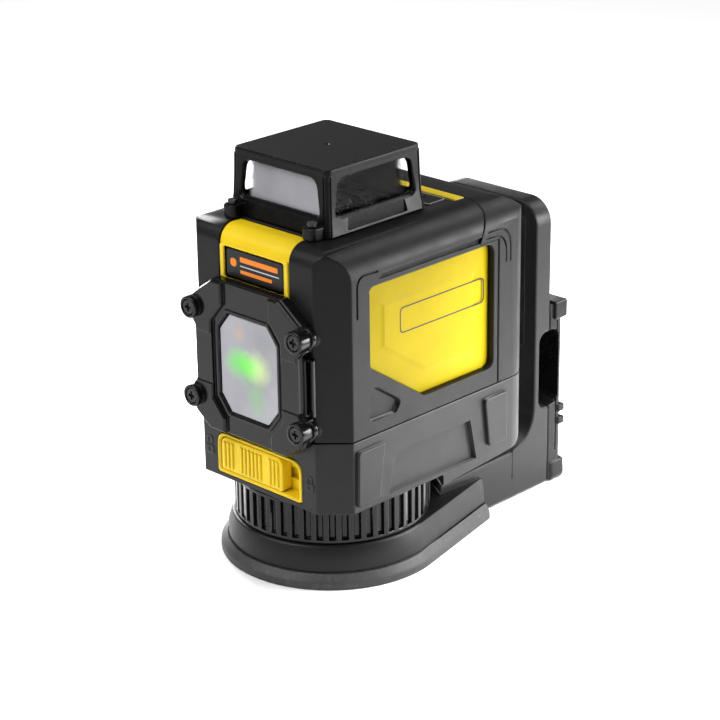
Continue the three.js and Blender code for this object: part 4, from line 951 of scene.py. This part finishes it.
# %% Window and panes
glass = slab(widened(WINDOW, -0.35), BEZEL_FRONT + 0.35, BEZEL_BACK - 0.2, "y", 0.3)
flange = slab(widened(WINDOW, 1.7), BEZEL_BACK - 1.5, BEZEL_BACK, "y")
place_piece("window_screen", union(glass, flange), "instrument", "clear_glass", "window_glass", finish=MILKY_WINDOW)
PANE_FINISH = {"cage_pane_front": FRONT_PANE, "cage_pane_left": DARK_PANE, "cage_pane_rear": DARK_PANE}

# %% [markdown]
# ## Lock tray and thumb
# The yellow thumb slides in a shallow tray to lock the pendulum. Ribs in three groups give the finger
# its grip, with smooth pads between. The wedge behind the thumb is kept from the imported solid, because
# it has to meet the lock pad. Two shutters on it keep the tray's slot closed wherever the thumb is.

# %% Lock tray
tray_low, tray_high = extent("lock_tray")
TRAY_MIDDLE, TRAY_WALL = (tray_low.z + tray_high.z) / 2, 1.3
TRAY = [(tray_high.x, tray_low.z, 1.4), (tray_high.x, tray_high.z, 5),
        (tray_low.x, tray_high.z, 5), (tray_low.x, tray_low.z, 1.4)]
POCKET = [(x - math.copysign(TRAY_WALL, x), z - math.copysign(TRAY_WALL, z - TRAY_MIDDLE), max(r - TRAY_WALL, 0.6))
          for x, z, r in TRAY]
tray = slab(TRAY, tray_low.y, tray_high.y, "y", 0.5)
pocket = stack(POCKET, [(tray_low.y - 1, -0.5), (tray_low.y + 0.1, -0.45), (tray_low.y + 0.6, 0),
                        (tray_high.y - 1.6, 0)], "y")
slot_hole = box((-18.2, tray_high.y - 3, TRAY_MIDDLE - 2.2), (18.6, tray_high.y + 1, TRAY_MIDDLE + 2.2))
place_piece("lock_tray_moulding", cut(tray, pocket, slot_hole), "instrument", "trim_yellow", "lock_tray")

# %% Lock thumb
thumb_low, thumb_high = extent("lock_thumb")
THUMB_LOW, THUMB_HIGH, THUMB_END = tray_low.z + 1.6, tray_high.z - 1.6, 12.4
RIB_SIZE, RIB_RISE = 1.25, 0.85
rib_places = [thumb_low.x + v for v in (2.2, 4.2, 6.2, 11.2, 13.2, 15.2, 17.2, 19.2, 21.2, 26.4, 28.4, 30.4)]
face = thumb_low.y + RIB_RISE
base = slab([(thumb_low.x, THUMB_LOW, 1), (THUMB_END, THUMB_LOW, 1), (THUMB_END, THUMB_HIGH, 3.4),
             (thumb_low.x, THUMB_HIGH, 3.4)], face, tray_high.y - 1.9, "y", 0.6)
grips = [slab(oblong(x - RIB_SIZE / 2, THUMB_LOW + 1.3, x + RIB_SIZE / 2, THUMB_HIGH - 1.3, 0.5),
              thumb_low.y, face + 0.4, "y", 0.45, 0, 3) for x in rib_places]
wedge = combine(solid_copy("lock_thumb"), [box((-40, tray_high.y - 2.1, 20), (40, 20, 60))], "INTERSECT")
shutters = [box((low, tray_high.y + 0.15, TRAY_MIDDLE - 2.7), (high, tray_high.y + 0.95, TRAY_MIDDLE + 2.7))
            for low, high in ((-27.6, -14), (8, 19.7))]
thumb = union(base, wedge, *shutters, *grips)
place_piece("lock_thumb_moulding", thumb, "lock_slide", "trim_yellow", "lock_thumb")
print("thumb ribs:", len(grips))

# %% [markdown]
# ## Yellow badge, label and their prints
# The side badge is a sunken plate with a raised middle: its outline is drawn in twice, once for the
# rounded rim and once for the slope up to the plateau. Prints are thin raised films, because they
# then stay crisp at any size. The lettering of the real tool is left out: only plain bars and frames
# are printed.

# %% Printed films
ROOT = 0.08  # how deep a film starts inside the surface under it


def inset(frame_of, by, radius):
    """An oblong inside another, given as (left, low, right, high)."""
    left, low, right, high = frame_of
    return oblong(left + by, low + by, right - by, high - by, radius)


def film(name, shapes, axis, level, lift, ink, slot, holes=()):
    """Flat shapes of ink on a surface, lifted by a twentieth of a millimetre or so."""
    start, end = sorted((level - math.copysign(ROOT, lift), level + lift))
    bm = union(*[slab(shape, start, end, axis) for shape in shapes])
    if holes:
        bm = cut(bm, *[slab(hole, start - 1, end + 1, axis) for hole in holes])
    return place_piece(name, bm, "instrument", slot, finish=ink)


print("films start", ROOT, "mm inside their surface")

# %% Badges
badge_low, badge_high = extent("side_badge_right")
LIP = 1.6
left, right, low, high = badge_low.y + LIP, badge_high.y - LIP, badge_low.z + LIP, badge_high.z - LIP
BADGE_CORNERS = [(left, high, 2.5), (left, 88, 2.5), (9, low, 2.5), (right, low, 3.5), (right, high, 3.5)]
FACE, BEHIND = badge_high.x, badge_low.x
PRINT = (-1.9, 95.4, 44.0, 105.5)  # left, low, right, high
for side, name in ((1, "right"), (-1, "left")):
    levels = [(BEHIND, -LIP), (BEHIND + 2, -LIP), (BEHIND + 2, 0), (FACE - 1.05, 0), (FACE - 0.72, 0.12),
              (FACE - 0.6, 0.42), (FACE - 0.6, 7.2), (FACE - 0.06, 9.4), (FACE, 9.8)]
    plate = stack(BADGE_CORNERS, [(side * x, inward) for x, inward in levels], "x")
    place_piece("badge_" + name, plate, "instrument", "badge_yellow", "side_badge_" + name)
    film("badge_frame_" + name, [oblong(*PRINT, 2.2)], "x", side * FACE, side * 0.05, INK, "black_plastic",
         [inset(PRINT, 0.5, 1.8)])

# %% Front label
LABEL_FACE, LABEL_FOOT = extent("front_label")[0].yz
STICKER_LIFT = 0.07
rim = slab(oblong(-17.6, LABEL_FOOT + 0.2, 17.6, 127.2, 1.4), LABEL_FACE - 0.75, LABEL_FACE + 0.3, "y", 0.35)
window = slab(oblong(-15.6, LABEL_FOOT + 2.4, 15.6, 126.4, 1.2), LABEL_FACE - 2, LABEL_FACE + 2, "y")
label = union(solid_copy("front_label"), cut(rim, window))
round_edges(label, 0.25)
place_piece("front_label_moulding", label, "instrument", "trim_yellow", "front_label")
film("label_sticker", [oblong(-14.6, 115.2, 14.6, 125.6, 1.3)], "y", LABEL_FACE, -STICKER_LIFT, INK, "black_plastic")
bars = [oblong(-7.5, 121.6, 12.0, 123.6, 0.4), oblong(-7.5, 117.2, 9.0, 118.6, 0.4),
        oblong(-12.6, 119.2, -9.4, 122.4, 1.5)]
rule = [oblong(-7.5, 119.9, 12.6, 120.3, 0.15)]
film("label_bars", bars, "y", LABEL_FACE - STICKER_LIFT, -0.05, ORANGE, "trim_yellow")
film("label_rule", rule, "y", LABEL_FACE - STICKER_LIFT, -0.05, WHITE, "black_plastic")

# %% Lock signs
# A padlock at each end of the tray. Its bow is raised and cut open on the unlocked side.
SIGN_X, SIGN_Z, SIGN_LIFT, FACE_Y = 26.6, 44.5, -0.22, extent("upper_shell")[0].y
for side, name, lift in ((-1, "open", 0.9), (1, "shut", 0.0)):
    x, z = side * SIGN_X, SIGN_Z + lift
    body, keyhole = (x - 2.0, SIGN_Z - 3.1, x + 2.0, SIGN_Z + 0.3), (x - 0.55, SIGN_Z - 2.1, x + 0.55, SIGN_Z - 0.7)
    bow = oblong(x - 1.5, z - 0.2, x + 1.5, z + 3.2, 1.45)
    gaps = [oblong(x - 0.85, z - 1.2, x + 0.85, z + 2.5, 0.8)]
    if lift:
        gaps.append(oblong(x - 1.7, SIGN_Z - 1.0, x - 0.6, z + 0.4, 0.1))
    film("sign_body_" + name, [oblong(*body, 0.5)], "y", FACE_Y, SIGN_LIFT, GLOSS, "black_plastic",
         [oblong(*keyhole, 0.5)])
    film("sign_bow_" + name, [bow], "y", FACE_Y, SIGN_LIFT, GLOSS, "black_plastic", gaps)

# %% Keypad line
def outline_box(node, out):
    """The node's (left, front, right, rear) seen from above, widened by that much."""
    low, high = extent(node)
    return low.x - out, low.y - out, high.x + out, high.y + out


pad = extent("keypad_panel")
button_room = [oblong(*outline_box("line_button_" + side, 0.1), 0.1) for side in ("left", "right")]
line = oblong(pad[0].x + 0.7, pad[0].y + 0.6, pad[1].x - 0.7, pad[1].y - 0.6, 1)
inside = oblong(pad[0].x + 1.0, pad[0].y + 0.9, pad[1].x - 1.0, pad[1].y - 0.9, 0.8)
film("keypad_line", [line], "z", pad[1].z, 0.05, WHITE, "black_plastic", [inside, *button_room])

# %% [markdown]
# ## Carried-over pieces
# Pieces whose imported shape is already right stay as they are. They only get their finish, set on the
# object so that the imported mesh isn't touched.

# %% Carried-over pieces
REMADE = {
    *EDGE_RADII, "window_bezel", "window_glass", "lens_cage", "lock_tray", "lock_thumb", "side_badge_right",
    "side_badge_left", "front_label",
}
carried = [node for name, node in frame["nodes"].items() if name not in REMADE]
for node in carried:
    for place in node.material_slots:
        place.link = "OBJECT"
        place.material = PANE_FINISH.get(node.name, FINISH[slots[node.name]])
print("carried over:", len(carried))
